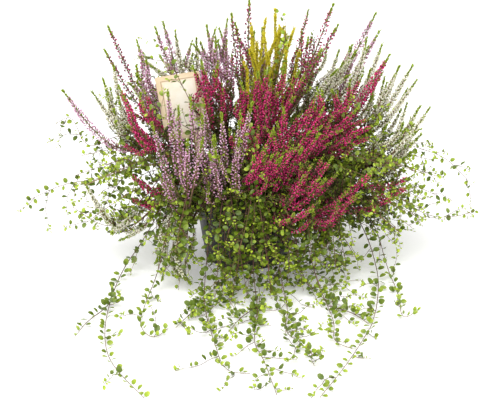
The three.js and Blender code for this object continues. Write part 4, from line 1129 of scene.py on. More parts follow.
# %% One flowering shoot
TWIG_FOOT, SIDE_FOOT, TWIG_MIDDLE, TWIG_TIP = 1.5, 1.1, 0.9, 0.45
TWIG_SIDES, TWIG_TINT = 5, 0.4
SPIKE_TOP = 0.8
TIP_LEAVES, GOLD_TIP_LEAVES, SLIM_CRIMSON_TIP_LEAVES = 38, 26, 18


def add_spike(bunch, stem, rng):
    """The twig, buds, leaves and green tip of one shoot."""
    kind, way, slim = stem["kind"], stem["way"], stem.get("slim", False)
    spec = KINDS[kind]
    total = length_of(way)
    start, stop = total - min(spec["spike"], total * SPIKE_SHARE), total - spec["tip"] * SPIKE_TOP
    foot = TWIG_FOOT if stem["root"] is None else SIDE_FOOT
    radii = np.interp(np.linspace(0, total, len(way)), [0, start, total], [foot, TWIG_MIDDLE, TWIG_TIP])
    every = 2 if slim else 1
    add_tube(bunch, way[::every], radii[::every], TWIG_SIDES, TWIG_TINT)
    add_buds(bunch, stem, start, stop, total, rng)
    wear = BLOOM if kind == "gold" else LEAF
    leaves, long = int((stop - start) * PLENTY[kind]["leaves"]), 4.6 if kind == "white" else 4.0
    add_scale_leaves(bunch, way, (start - 8, stop), leaves, long, 0.6, (0.35, 0.75), rng, 0.6, wear)
    low = 4 if slim else 20
    add_scale_leaves(bunch, way, (low, start), int(max(0, start - low) * 0.9), 3.2, 0.55, (0.05, 0.35), rng)
    tip = SLIM_CRIMSON_TIP_LEAVES if slim and kind == "crimson" else TIP_LEAVES
    tip = GOLD_TIP_LEAVES if kind == "gold" else tip
    add_scale_leaves(bunch, way, (stop - 7, total), tip, 4.3, 0.46, (0.75, 1.0), rng, wear=wear)


print("leaves at a green tip:", TIP_LEAVES)

# %% [markdown]
# ## The green inside
# Below its flowers a heather stem carries short twigs of dark old leaves, and they close the plant up so
# that no daylight shows through its middle. A dark ball inside would do the same from one side, but it
# would show as a ball from the others, so the twigs are real ones, with a leaf for each millimetre. The
# sprays that lie out low have more of them hanging beneath, browner and older still, and their darkest
# tints also stand in as painted shade beneath the sprays.

# %% Leafy side twigs
TWIG_STEP, TWIG_WOBBLE = 5, 0.07
TWIG_SPACING, TWIG_RISE = 12.5, 0.22
TWIG_LENGTHS, TWIG_SKIN = (22, 42), (0.7, 0.35)
THREE_SIDES = 3


def side_twig(way, stop, out_turn, long, rise, rng):
    """A short bent twig that starts on a stem and turns up, or down where the rise is below nothing."""
    at, t, s, o = walk(way, np.array([stop]))
    ahead = unit(t[0] * 0.5 + around(s, o, np.array([out_turn]))[0])
    steps = max(4, int(long / TWIG_STEP))
    line = [at[0]]
    for _ in range(steps):
        ahead = unit(ahead + np.array([0, 0, rise]) + rng.normal(0, TWIG_WOBBLE, 3))
        line.append(line[-1] + ahead * long / steps)
    return np.array(line)


def add_twig(bunch, twig, radii, tint):
    """The wood of a twig, drawn with every other point of its way."""
    wood = twig[::2]
    add_tube(bunch, wood, np.linspace(*radii, len(wood)), THREE_SIDES, tint)


def add_side_twigs(bunch, stem, rng):
    """Leafy twigs up the bare part of a stem, which fill the inside of the plant with dark green."""
    kind, way = stem["kind"], stem["way"]
    total = length_of(way)
    start = total - min(KINDS[kind]["spike"], total * SPIKE_SHARE)
    turn = rng.uniform(0, 6)
    for stop in np.arange(26 if stem["root"] is None else 6, start + 18, TWIG_SPACING):
        turn += GOLDEN
        long = rng.uniform(*TWIG_LENGTHS)
        twig = side_twig(way, stop, turn, long, TWIG_RISE, rng)
        if twig[:, 2].min() < SOIL_TOP + 3 and np.hypot(twig[:, 0], twig[:, 1]).min() < POT_TOP_RADIUS + 3:
            twig[:, 2] = np.maximum(twig[:, 2], SOIL_TOP + 4)
        add_twig(bunch, twig, TWIG_SKIN, rng.uniform(0, 0.4))
        young = rng.uniform(0.25, 0.7)
        add_scale_leaves(bunch, twig, (2, long), int(long), 3.7, 0.7, (0.08, young), rng)


print("a side twig every", TWIG_SPACING, "mm")

# %% Old undergrowth beneath the low sprays
# How many old twigs hang below a spray, by the spray's number.
UNDERGROWTH = {9: 12, 10: 10, 11: 8, 12: 8, 13: 12, 14: 34, 16: 40, 17: 36, 34: 6}
OLD_TWIG_FALL, OLD_TWIG_LENGTHS, OLD_TWIG_SKIN = -0.2, (22, 46), (0.8, 0.4)
OLD_TWIG_LOWEST = 56
OLD_TWIG_SPAN = (0.3, 0.88)
FULL_TURN = 6.28


def add_undergrowth(bunch, stem, count, rng):
    """Old twigs that hang below a low stem, outside the pot, dark with age and with painted shade."""
    way = stem["way"]
    total = length_of(way)
    for stop in rng.uniform(total * OLD_TWIG_SPAN[0], total * OLD_TWIG_SPAN[1], count):
        long = rng.uniform(*OLD_TWIG_LENGTHS)
        twig = side_twig(way, stop, rng.uniform(0, FULL_TURN), long, OLD_TWIG_FALL, rng)
        over_pot = np.hypot(twig[:, 0], twig[:, 1]) < POT_TOP_RADIUS + 4
        if twig[:, 2].min() < OLD_TWIG_LOWEST or (over_pot & (twig[:, 2] < POT_HEIGHT + 4)).any():
            continue
        # The twigs and their leaves take the darkest tints: partly old growth, partly painted shade below the
        # low sprays.
        add_twig(bunch, twig, OLD_TWIG_SKIN, rng.uniform(0, 0.2))
        add_scale_leaves(bunch, twig, (1, long), int(long * 1.1), 4.6, 0.75, (0.0, 0.18), rng)


print("old twigs tried:", sum(UNDERGROWTH.values()))

# %% [markdown]
# ## Thinner shoots between the main ones
# A heather spray is a tuft: around each main shoot stand thinner ones that end a little lower. The plan
# could list them too, but they follow their neighbour so closely that a rule serves. Each leaves its stem
# low down, runs beside it and ends below its tip, and one that would meet the label, the pot or the table
# is left out. Sprays that look thick in front have more of them than their colour's usual number.

# %% A thinner shoot
COMPANIONS = {"crimson": 2, "lilac": 1, "white": 2, "gold": 1, "sparse": 1}
# Sprays that have another number of thinner shoots to each main one, by the spray's number.
DENSE_SPRAYS = {
    0: 0, 6: 1, 8: 2, 9: 4, 13: 4, 14: 4, 15: 4, 16: 3, 17: 1, 18: 3, 19: 2, 21: 2,
    22: 2, 24: 2, 25: 2, 28: 2, 31: 2, 32: 4, 33: 3, 34: 4, 35: 1, 36: 2, 37: 2,
}
LABEL_CLEAR, LOWEST_SHOOT, SHORTEST_SHOOT = 9, 6, 8
LEAVES_AT, ENDS_AT, STANDS_OFF = (0.12, 0.34), (0.74, 0.96), (13, 27)
SHOOT_BEND, SHOOT_REACH, SHOOT_SHARE = 5, 0.88, 0.8


def companion(stem, rng):
    """A thinner shoot that leaves a stem low down, runs beside it and ends below its tip."""
    way = stem["way"]
    first, final = int(len(way) * rng.uniform(*LEAVES_AT)), int(len(way) * rng.uniform(*ENDS_AT))
    base = way[first : final + 1]
    ahead, side = frames_along(base)
    turn = rng.uniform(0, 2 * math.pi)
    out = side[0] * math.cos(turn) + np.cross(ahead[0], side[0]) * math.sin(turn)
    share = np.linspace(0, 1, len(base))
    bend = rng.normal(0, SHOOT_BEND, 3) * np.sin(share * math.pi)[:, None]
    line = base + out * (rng.uniform(*STANDS_OFF) * share ** 0.75)[:, None] + bend
    near_label = np.linalg.norm(line[:, None] - label_points[None], axis=2).min() < LABEL_CLEAR
    over_pot = np.hypot(line[:, 0], line[:, 1]) < POT_TOP_RADIUS + 4
    in_pot = (over_pot & (line[:, 2] < SOIL_TOP + 2)).any()
    if len(line) < SHORTEST_SHOOT or near_label or in_pot or line[:, 2].min() < LOWEST_SHOOT:
        return None
    reach = spike_reach(stem["kind"], line) * SHOOT_REACH
    kept = {"kind": stem["kind"], "owner": stem["owner"], "root": True}
    return {**kept, "way": line, "reach": reach, "slim": True, "share": SHOOT_SHARE}


print("sprays with a number of their own:", len(DENSE_SPRAYS))

# %% Build every spray
SPRAY_SEED = 1000
spray_triangles, extras = 0, 0
for number, (kind, _, _) in enumerate(SPRAYS):
    rng = np.random.default_rng(SPRAY_SEED + number)
    bunch = Bunch()
    own_stems = [stem for stem in stems if stem["owner"] == number]
    for stem in own_stems:
        add_spike(bunch, stem, rng)
        add_side_twigs(bunch, stem, rng)
        for _ in range(DENSE_SPRAYS.get(number, COMPANIONS[kind])):
            extra = companion(stem, rng)
            if extra:
                add_spike(bunch, extra, rng)
                extras += 1
    add_undergrowth(bunch, own_stems[0], UNDERGROWTH.get(number, 0), rng)
    finishes = [TWIG_BARK, GOLD_LEAF if kind == "gold" else HEATHER_LEAF, BLOOMS[kind]]
    spray, triangles = make_piece(f"spray_{number + 1:02d}_{kind}", bunch, finishes)
    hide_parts(node_name(number))
    spray_triangles += triangles
print("sprays:", len(SPRAYS), "thinner shoots:", extras, "triangles:", spray_triangles)

# %% [markdown]
# ## Wire vine
# Wire vine has hair-thin brown stems, and small round leaves on short stalks, one on each side in turn.
# A leaf could be a flat disc, but then it would vanish edge on and catch no light, so it is a thin closed
# blade that is cupped along its midrib and droops at its tip. Leaves deep in the shade of the pot are
# darkened with painted shade, and those at the tips are young and nearly yellow.


# %% One vine leaf
def blade_shape():
    """A cupped round leaf: an outline of eight points, and a raised and a sunk point on the midrib."""
    right = [(0.36, 0.16), (0.5, 0.5), (0.34, 0.86)]
    outline = [(0.0, 0.0)] + right + [(0.0, 1.04)] + [(-x, z) for x, z in reversed(right)]
    points = [(x, 0.34 * x * x - 0.1 * z * z, z) for x, z in outline]
    points += [(0, -0.035, 0.5), (0, -0.07, 0.5)]
    n = len(outline)
    top = [(i, n, (i + 1) % n) for i in range(n)]
    below = [((i + 1) % n, n + 1, i) for i in range(n)]
    points = np.array(points, float)
    return points, np.array(top + below), np.clip(points[:, 2], 0, 1), np.abs(points[:, 0]) * 2


BLADE = blade_shape()
print("vine leaf triangles:", len(BLADE[1]))

# %% Leaves along a vine
LYING, LOWEST_LEAF = 14, 1.2
FORWARD, UPRIGHT, UP_LOOSE = 0.35, (0.0, -0.45, 1.0), 0.45
AGE_LOOSE = (0.04, 0.13)
SHADE_RADIUS, SHADE_WIDTH, SHADE_TOP, SHADE_HEIGHT, PAINTED_SHADE_DEPTH = 126, 50, 150, 30, 0.75
OLDEST, STALK_SHARE, STALK_WIDE, STALK_TINT = 0.22, 0.22, 0.55, 0.8


def painted_shade_near_pot(at):
    """How deep each place lies in the shade of the pot and the plants above it, from 0 to 1."""
    inward = np.clip((SHADE_RADIUS - np.hypot(at[:, 0], at[:, 1])) / SHADE_WIDTH, 0, 1)
    return inward * np.clip((SHADE_TOP - at[:, 2]) / SHADE_HEIGHT, 0, 1)


def add_vine_leaves(bunch, way, start, spacing, sizes, ages, rng):
    """Leaves on one side and the other in turn, smaller and younger towards the tip, and darkened with
    painted shade near the pot.
    """
    total = length_of(way)
    stops = np.arange(start, total, spacing)
    n = len(stops)
    if n == 0:
        return 0
    stops = np.clip(stops + rng.normal(0, spacing * 0.2, n), 0, total)
    at, t, s, o = walk(way, stops)
    turn = rng.uniform(0, FULL_TURN) + np.arange(n) * math.pi + rng.normal(0, 0.5, n)
    out = around(s, o, turn)
    low = at[:, 2] < LYING
    out[low, 2] = np.abs(out[low, 2]) * 0.6 + 0.12
    up = np.tile(UPRIGHT, (n, 1)) + rng.normal(0, UP_LOOSE, (n, 3))
    ahead = unit(out + t * FORWARD + np.array([0, 0, 0.12]) + rng.normal(0, 0.2, (n, 3)))
    ahead[low, 2] = np.abs(ahead[low, 2])
    share = stops / max(total, 1)
    size = (sizes[0] + (sizes[1] - sizes[0]) * share) * rng.uniform(0.8, 1.15, n)
    tint = ages[0] + (ages[1] - ages[0]) * share ** 1.5 + rng.normal(*AGE_LOOSE, n)
    # Painted shade: leaves near the pot and below the flowers are darkened as if in its shadow.
    tint = np.maximum(tint, OLDEST) * (1 - PAINTED_SHADE_DEPTH * painted_shade_near_pot(at))
    seat = at + unit(out + t * 0.2) * (size * STALK_SHARE)[:, None]
    seat[:, 2] = np.maximum(seat[:, 2], LOWEST_LEAF)
    inside = (np.hypot(seat[:, 0], seat[:, 1]) < POT_TOP_RADIUS - 4) & (seat[:, 2] < SOIL_TOP)
    at, seat, ahead, up, size, tint = (rows[~inside] for rows in (at, seat, ahead, up, size, tint))
    across = np.cross(up, ahead)
    wide = size * rng.uniform(0.68, 0.86, len(size))
    scatter(bunch, BLADE, seat, ahead, across, size, wide, size, tint, LEAF)
    stalk = seat + ahead * 0.6 - at
    stalk_wide, stalk_tint = np.full(len(at), STALK_WIDE), np.full(len(at), STALK_TINT)
    stalk_long = np.linalg.norm(stalk, axis=1)
    scatter(bunch, SCALE_LEAF, at, unit(stalk), across, stalk_long, stalk_wide, stalk_wide, stalk_tint, TWIG)
    return len(at)


print("leaves lie flat below", LYING, "mm")

# %% [markdown]
# ## How a sprig grows
# A side sprig is too thin to hold itself up. It could be drawn as a curve, but then it would have to be
# fitted round the pot and the table each time. So it grows a step at a time: each step wanders and droops
# a little, turns aside at the pot, and comes to lie where it meets the table.

# %% Growing a sprig
BOX_LOW = np.array(solid_box[0]) * 1000 - 6
BOX_HIGH = np.array(solid_box[1]) * 1000 + 6
TABLE_GAP, POT_GAP, SPRIG_STEP = 1.4, 4, 5.0
SPRIG_TIP = 0.22


def off_pot(spot):
    """A place moved out of the pot's side, if it lies in it."""
    if spot[2] > POT_HEIGHT + POT_GAP:
        return spot
    out = math.hypot(spot[0], spot[1]) + TINY
    wall = POT_FOOT_RADIUS + (POT_TOP_RADIUS - POT_FOOT_RADIUS) * max(0, spot[2]) / POT_HEIGHT + POT_GAP
    if out < wall:
        spot[:2] *= wall / out
    return spot


def grow_sprig(start, ahead, long, droop, wander, rng):
    """A thin stem that wanders and droops as it grows."""
    line = [np.array(start)]
    for _ in range(max(3, int(long / SPRIG_STEP))):
        ahead = ahead + rng.normal(0, wander, 3)
        ahead[2] -= droop
        ahead = ahead / (np.linalg.norm(ahead) + TINY)
        spot = off_pot(np.clip(line[-1] + ahead * SPRIG_STEP, BOX_LOW, BOX_HIGH))
        if spot[2] < TABLE_GAP:
            spot[2] = TABLE_GAP + rng.uniform(0, 1.5)
            ahead[2] = abs(ahead[2]) * 0.3
        line.append(spot)
    return np.array(line)


# How the sprigs of each sort of vine grow: how far forward they lean, how long they get, how much they
# droop and wander, how thick their wire is, and the spacing, size and age of their leaves to the tip.
SPRIGS = {
    "main": {"lean": 0.5, "long": (18, 58), "droop": 0.1, "wander": 0.16, "wire": 0.42,
             "spacing": 8.0, "size": (8.2, 4.6), "age": (0.05, 0.85)},
    "hanging": {"lean": 0.4, "long": (16, 44), "droop": 0.12, "wander": 0.18, "wire": 0.36,
                "spacing": 7.8, "size": (8.4, 5.0), "age": (0.0, 0.6)},
    # The skirt's leaves keep to the darkest ages, partly as painted shade in the gap below the flowers.
    "skirt": {"lean": 0.4, "long": (16, 36), "droop": 0.1, "wander": 0.18, "wire": 0.4,
              "spacing": 7.0, "size": (9.0, 5.6), "age": (0.0, 0.4)},
    "wandering": {"lean": 0.6, "long": (14, 44), "droop": 0.05, "wander": 0.16, "wire": 0.34,
                  "spacing": 7.4, "size": (7.6, 4.4), "age": (0.05, 0.9)},
}


def add_sprig(bunch, way, stop, sort, rng, pull=0.0):
    """A sprig that leaves a vine at a stop: its wire, its leaves and the young tuft at its tip."""
    habit = SPRIGS[sort]
    at, t, s, o = walk(way, np.array([stop]))
    out = around(s, o, rng.uniform(0, FULL_TURN, 1))[0] + pull
    flat = sort == "main" and at[0][2] <= 10
    ahead, droop = unit(out + t[0] * habit["lean"]), 0.0 if flat else habit["droop"]
    sprig = grow_sprig(at[0], ahead, rng.uniform(*habit["long"]), droop, habit["wander"], rng)
    radii = np.linspace(habit["wire"], SPRIG_TIP, len(sprig))
    add_tube(bunch, sprig, radii, THREE_SIDES, rng.uniform(0.1, 0.9))
    leaves = add_vine_leaves(bunch, sprig, 4, habit["spacing"], habit["size"], habit["age"], rng)
    return leaves + add_vine_leaves(bunch, sprig[-3:], 1, 2.6, (3.6, 2.4), (0.9, 1.0), rng)


print("sorts of sprig:", ", ".join(SPRIGS))

# %% Main vines and their side sprigs
# How close the sprigs stand on a vine, by its number: thick in front of the pot and thin on the table.
FRONT = {3: 0.3, 4: 0.6, 5: 1.5, 6: 2.0, 7: 2.0, 8: 1.3, 9: 0.5, 10: 0.6}
USUAL, SPRIG_SPACING, LOW_DOWN = 0.8, 22, 1.35
MAIN_SEED = 3000
VINE_SIDES, VINE_TINT = 5, 0.3
vine_bunches = []
main_leaves = 0
for number in range(len(VINES)):
    rng = np.random.default_rng(MAIN_SEED + number)
    bunch = Bunch()
    for stem in stems:
        if stem["owner"] != len(SPRAYS) + number:
            continue
        way, from_soil = stem["way"], stem["root"] is None
        total = length_of(way)
        radii = np.interp(np.linspace(0, 1, len(way)), [0, 0.15, 1], [1.1 if from_soil else 0.6, 0.62, 0.3])
        add_tube(bunch, way, radii, VINE_SIDES, VINE_TINT)
        main_leaves += add_vine_leaves(bunch, way, 34 if from_soil else 5, 6.6, (9.4, 6.0), (0.05, 0.7), rng)
        stop = 26.0 if from_soil else 8.0
        while stop < total - 6:
            spot = spot_at(way, stop)
            outward = np.array([spot[0], spot[1], 0]) / (math.hypot(spot[0], spot[1]) + TINY)
            main_leaves += add_sprig(bunch, way, stop, "main", rng, outward * 0.3)
            low_down = LOW_DOWN if spot[2] < 60 else 1
            stop += rng.uniform(0.7, 1.3) * SPRIG_SPACING * low_down / FRONT.get(number, USUAL)
    vine_bunches.append(bunch)
print("leaves on the main vines and their sprigs:", main_leaves)

# %% [markdown]
# ## A curtain over the rim
# In front, so many thin vines hang over the rim that the pot hardly shows, and some reach the table and
# run out along it. One leafy sheet would hide the pot as well, but it would look like a wall. Each vine
# here leaves the soil near the rim, bends over it and hangs with a swing of its own, and it is counted
# with the main vine whose foot is nearest, so the solid that it belongs to stays the same.


# %% One hanging vine
def nearest_vine(spot):
    """The bunch of the main vine whose foot is nearest."""
    feet_at = [np.hypot(foot[0] - spot[0], foot[1] - spot[1]) for foot in feet[len(SPRAYS):]]
    return vine_bunches[int(np.argmin(feet_at))]


def hanging_way(aim, angle, front, to_table, rng):
    """A vine from the soil over the rim and down, and out along the table if it gets there."""
    root, over = aim * rng.uniform(50, 62), aim * rng.uniform(80, 104)
    swing = rng.normal(0, 10, 2)
    low = rng.uniform(8, 80)
    run_out = rng.uniform(20, 100) * math.sin(-math.radians(angle)) ** 2 if front else 0
    line = [
        (*root, SOIL_TOP - 4),
        (*(root * 1.05), SOIL_TOP + 16),
        (*over, rng.uniform(118, 140)),
        (*(over * 1.12 + swing), 92),
        (*(over * 1.18 + swing * 2), 16 if to_table else low),
    ]
    if to_table:
        land = over * 1.24 + swing * 3
        out_way = unit(land * (0.6, 1) + rng.normal(0, 30, 2))
        bend = out_way[::-1] * (1, -1) * rng.normal(0, 0.3)
        line += [(*land, 2.6), (*(land + out_way * run_out * 0.5), 2.6)]
        line.append((*(land + (out_way + bend) * run_out), 2.6))
    return root, smooth_way(line)


print("feet of the main vines:", len(VINES))

# %% Vines that hang over the rim
CURTAIN, CURTAIN_SEED = 26, 77
FRONT_SHARE, FRONT_ANGLE, FRONT_SPREAD, FRONT_LIMIT = 0.86, -88, 26, 58
NEAR_TABLE, LEFT_BARE = 40, 0.35
rng = np.random.default_rng(CURTAIN_SEED)


def curtain_angle(front):
    """The side on which a vine hangs, in degrees: near the middle of the front, or anywhere behind."""
    if not front:
        return rng.uniform(0, 180)
    return FRONT_ANGLE + np.clip(rng.normal(0, FRONT_SPREAD), -FRONT_LIMIT, FRONT_LIMIT)


hanging = 0
for k in range(CURTAIN):
    front = k < CURTAIN * FRONT_SHARE
    angle = curtain_angle(front)
    aim = np.array([math.cos(math.radians(angle)), math.sin(math.radians(angle))])
    root, way = hanging_way(aim, angle, front, front and k % 5 < 3, rng)
    bunch = nearest_vine(root)
    add_tube(bunch, way, np.linspace(0.55, 0.25, len(way)), VINE_SIDES, rng.uniform(0.1, 0.8))
    hanging += add_vine_leaves(bunch, way, 20, 7.5, (9.0, 6.4), (0.0, 0.5), rng)
    for stop in np.arange(24, length_of(way), rng.uniform(13, 19)):
        if spot_at(way, stop)[2] < NEAR_TABLE and rng.uniform() < LEFT_BARE:
            continue
        hanging += add_sprig(bunch, way, stop, "hanging", rng, np.array([*aim, 0]) * 0.7)
print("hanging vines:", CURTAIN, "leaves:", hanging)

# %% [markdown]
# ## A skirt of older growth
# Round the right side and the left front, older vines stand out from the pot before they fall, with large
# dark leaves, whose darkness is partly age and partly painted shade. They close the gap between the
# flowers above and the curtain below. Bigger leaves on the main vines would thicken the plant everywhere,
# so these grow apart, each at an angle of its own.

# %% A skirt of older growth round the pot
SKIRT, SKIRT_SEED = 22, 404
RIGHT_ANGLES, LEFT_ANGLES = (-68, 4), (-168, -118)
SOFT_SIDES = 4
rng = np.random.default_rng(SKIRT_SEED)
old_leaves = 0
for k in range(SKIRT):
    angle = math.radians(rng.uniform(*(RIGHT_ANGLES if k % 3 < 2 else LEFT_ANGLES)))
    aim = np.array([math.cos(angle), math.sin(angle)])
    root, over = aim * rng.uniform(48, 60), aim * rng.uniform(96, 142)
    bottom = rng.uniform(22, 72)
    way = smooth_way([
        (*root, SOIL_TOP - 4),
        (*(root * 1.05), SOIL_TOP + 18),
        (*(over * 0.85), rng.uniform(120, 142)),
        (*over, rng.uniform(88, 108)),
        (*(over * 1.08), bottom),
    ])
    bunch = nearest_vine(root)
    add_tube(bunch, way, np.linspace(0.7, 0.36, len(way)), SOFT_SIDES, rng.uniform(0.0, 0.5))
    # The skirt's leaves take the darkest tints: partly older growth, partly painted shade in the gap below
    # the flowers.
    old_leaves += add_vine_leaves(bunch, way, 24, 6.5, (9.2, 6.8), (0.0, 0.35), rng)
    for stop in np.arange(34, length_of(way), rng.uniform(8, 11)):
        old_leaves += add_sprig(bunch, way, stop, "skirt", rng)
print("skirt vines:", SKIRT, "leaves:", old_leaves)

# %% [markdown]
# ## Wandering vines
# Some vines grow up through the heather and lay a leaf on a flower here and there, and many more lean out
# to both sides, high and low, as a light veil. They could be scattered evenly, but the real ones keep to
# the sides and the back and leave the crimson middle free, so each sort has its own range of directions.

# %% Where a wandering vine is heading
WANDERERS, SIDE_WANDERERS = 18, 44
CROWN_MIDDLE, CROWN_REACH = np.array([0, -6, 118]), np.array([205, 128, 150])
SIDE_MIDDLE, SIDE_REACH = np.array([0, -20, 108]), np.array([238, 120, 120])


def wander_aim(k, rng):
    """A direction for the vine with this number, and the least share of its reach that it covers."""
    if k < WANDERERS:
        angle = math.radians(rng.uniform(-45, 225) if k % 7 else rng.uniform(-120, -60))
        rise, least = math.radians(rng.triangular(-4, 12, 58)), 0.82
    else:
        right, far = k % 4 > 0, k % 4 == 1
        angle = math.radians((0 if right else 180) + rng.normal(-8 if right else 8, 12 if far else 24))
        rise = math.radians(rng.uniform(-46, -8) if far else rng.uniform(-28, 20))
        least = 0.9 if far else 0.72
    flat = math.cos(rise)
    return np.array([math.cos(angle) * flat, math.sin(angle) * flat, math.sin(rise)]), least


print("wandering vines:", WANDERERS, "over the crown and", SIDE_WANDERERS, "to the sides")

# %% Vines that wander up through the heather
# The random draws go on from where the skirt left them.
wandering = 0
for k in range(WANDERERS + SIDE_WANDERERS):
    to_side = k >= WANDERERS
    aim, least = wander_aim(k, rng)
    middle, reach_out = (SIDE_MIDDLE, SIDE_REACH) if to_side else (CROWN_MIDDLE, CROWN_REACH)
    crown = middle + aim * reach_out * rng.uniform(least, 1.0)
    root = aim[:2] * 34 + rng.normal(0, 8, 2)
    root *= min(1, 56 / (np.hypot(*root) + TINY))
    lifted = np.array([*root, SOIL_TOP + 26]) * 0.4 + crown * 0.6 + (0, 0, 18 if to_side else 12)
    way = smooth_way([(*root, SOIL_TOP - 4), (*root, SOIL_TOP + 22), lifted, crown])
    bunch = nearest_vine(root)
    total = length_of(way)
    add_tube(bunch, way, np.linspace(0.65, 0.36, len(way)), SOFT_SIDES, rng.uniform(0.1, 0.8))
    wandering += add_vine_leaves(bunch, way, total * 0.35, 7.6, (8.0, 5.4), (0.05, 0.75), rng)
    for stop in np.arange(total * (0.4 if to_side else 0.5), total, rng.uniform(12, 22)):
        wandering += add_sprig(bunch, way, stop, "wandering", rng)
print("leaves on the wandering vines:", wandering)

# %% Make the vine pieces
vine_triangles = 0
for number, bunch in enumerate(vine_bunches):
    vine, triangles = make_piece(f"trailing_vine_{number + 1:02d}", bunch, [VINE_WIRE, VINE_LEAF], crisp=LEAF)
    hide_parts(f"wire_vine_{number + 1:02d}")
    vine_triangles += triangles
print("vine triangles:", vine_triangles)

# %% [markdown]
# ## The pot
# The pot is the plain black nursery pot that such plants are sold in: thin, tapered, with a rolled collar
# and drain holes. It could be left as the solid, but that one has flat sides, so it is turned again with
# 96 sides, a rounded rim and fine raised rings. The drain holes are drilled as on the real tool, with one
# cutter for all six, and sharp edges are split so that the smooth shading stops at them.


# %% Turning on a lathe
def lathe(bunch, profile, sides, centre=(0, 0)):
    """A closed solid turned round an upright line. Its rows of radius and height start and end on it."""
    rings = np.array(profile[1:-1], float)
    angles = np.arange(sides) * 2 * math.pi / sides
    ring = np.stack([np.cos(angles), np.sin(angles)], 1)
    flat = (rings[:, None, 0, None] * ring[None]).reshape(-1, 2)
    wall = np.concatenate([flat, np.repeat(rings[:, 1], sides)[:, None]], 1)
    points = np.concatenate([wall, [[0, 0, profile[0][1]], [0, 0, profile[-1][1]]]]) + (*centre, 0)
    bunch.put(points, np.zeros((len(points), 3)), 0, *round_skin(len(rings), sides))


print("a turned ring of 96 sides has a face every", 360 / 96, "degrees")

# %% The pot's profile
COLLAR_HEIGHT, COLLAR_STEP, POT_FLOOR, FOOT_ROUND = 14, 2.6, 2.2, 1.5
RAISED_RINGS, RING_HEIGHTS, RING_PROUD = (22, 24, 62, 64), (20, 22, 24, 26, 60, 62, 64, 66), 0.35
INNER_MIDDLE = 60
collar_low = POT_HEIGHT - COLLAR_HEIGHT


def wall_radius(z):
    top = POT_TOP_RADIUS - COLLAR_STEP
    return POT_FOOT_RADIUS + (top - POT_FOOT_RADIUS) * (z - FOOT_ROUND) / (collar_low - FOOT_ROUND)


def inner_radius(z):
    low, high = POT_FOOT_RADIUS - POT_WALL, POT_TOP_RADIUS - COLLAR_STEP
    return low + (high - low) * z / POT_HEIGHT


foot = [(0, 0), (POT_FOOT_RADIUS - 4.5, 0), (POT_FOOT_RADIUS - 1.2, 0), (POT_FOOT_RADIUS - 0.3, 0.4),
        (POT_FOOT_RADIUS, FOOT_ROUND)]
wall = [(wall_radius(z) + (RING_PROUD if z in RAISED_RINGS else 0), z) for z in RING_HEIGHTS]
collar = [(wall_radius(collar_low), collar_low), (POT_TOP_RADIUS - 0.5, collar_low + 0.8),
          (POT_TOP_RADIUS, collar_low + 1.6), (POT_TOP_RADIUS, POT_HEIGHT - 0.8),
          (POT_TOP_RADIUS - 0.25, POT_HEIGHT - 0.25), (POT_TOP_RADIUS - 0.8, POT_HEIGHT),
          (POT_TOP_RADIUS - COLLAR_STEP + 0.6, POT_HEIGHT),
          (inner_radius(POT_HEIGHT) - 0.1, POT_HEIGHT - 0.5)]
inside = [(inner_radius(INNER_MIDDLE), INNER_MIDDLE), (inner_radius(POT_FLOOR + 2), POT_FLOOR + 2),
          (inner_radius(POT_FLOOR) - 2, POT_FLOOR), (0, POT_FLOOR)]
print("rows in the profile:", len(foot + wall + collar + inside))

# %% The pot's plastic
BLACK_PLASTIC, tree, shader = new_finish("black_nursery_plastic", 0.42, 0.45)
where = own_place(tree)
fleck = noise(tree, where, 900.0, 3.0)
blacks = ramp(tree, fleck, shades((0.35, 22, 22, 21), (0.7, 36, 36, 34)))
tree.links.new(blacks, shader.inputs["Base Color"])
tree.links.new(in_range(tree, noise(tree, where, 40.0), 0.34, 0.58), shader.inputs["Roughness"])
bump(tree, shader, fleck, 0.0002, 0.4)
print("the pot's gloss clouds from roughness 0.34 to 0.58")

# %% Turn and drill the pot
POT_ROUND = 96
DRAIN_COUNT, DRAIN_RADIUS, DRAIN_CIRCLE = 6, 5, 32
CRISP_FROM = math.radians(38)
pot_bunch = Bunch()
lathe(pot_bunch, foot + wall + collar + inside, POT_ROUND)
pot, _ = make_piece("nursery_pot", pot_bunch, [BLACK_PLASTIC], own_map=False)
drill_bunch = Bunch()
for k in range(DRAIN_COUNT):
    angle = (k + 0.5) * math.pi / 3
    centre = (DRAIN_CIRCLE * math.cos(angle), DRAIN_CIRCLE * math.sin(angle))
    lathe(drill_bunch, [(0, -4), (DRAIN_RADIUS, -4), (DRAIN_RADIUS, 8), (0, 8)], 32, centre)
drill, _ = make_piece("drill", drill_bunch, [], own_map=False)
cut = pot.modifiers.new("drain_holes", "BOOLEAN")
cut.object = drill
cut.solver = "EXACT"
edges = pot.modifiers.new("crisp_edges", "EDGE_SPLIT")
edges.split_angle = CRISP_FROM
bpy.context.view_layer.objects.active = pot
pot.select_set(True)
bpy.ops.object.modifier_apply(modifier="drain_holes")
bpy.ops.object.modifier_apply(modifier="crisp_edges")
bpy.data.objects.remove(drill)
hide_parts("pot")
print("pot faces:", len(pot.data.polygons))

# %% [markdown]
# ## The soil
# Potting soil is dark, matte and crumbly, and it settles in low heaps. A flat disc with a bumpy finish
# would do from far off, but between the stems its edge shows, so the surface is raised in slow waves with
# a little roughness, and loose crumbs are pressed halfway into it.

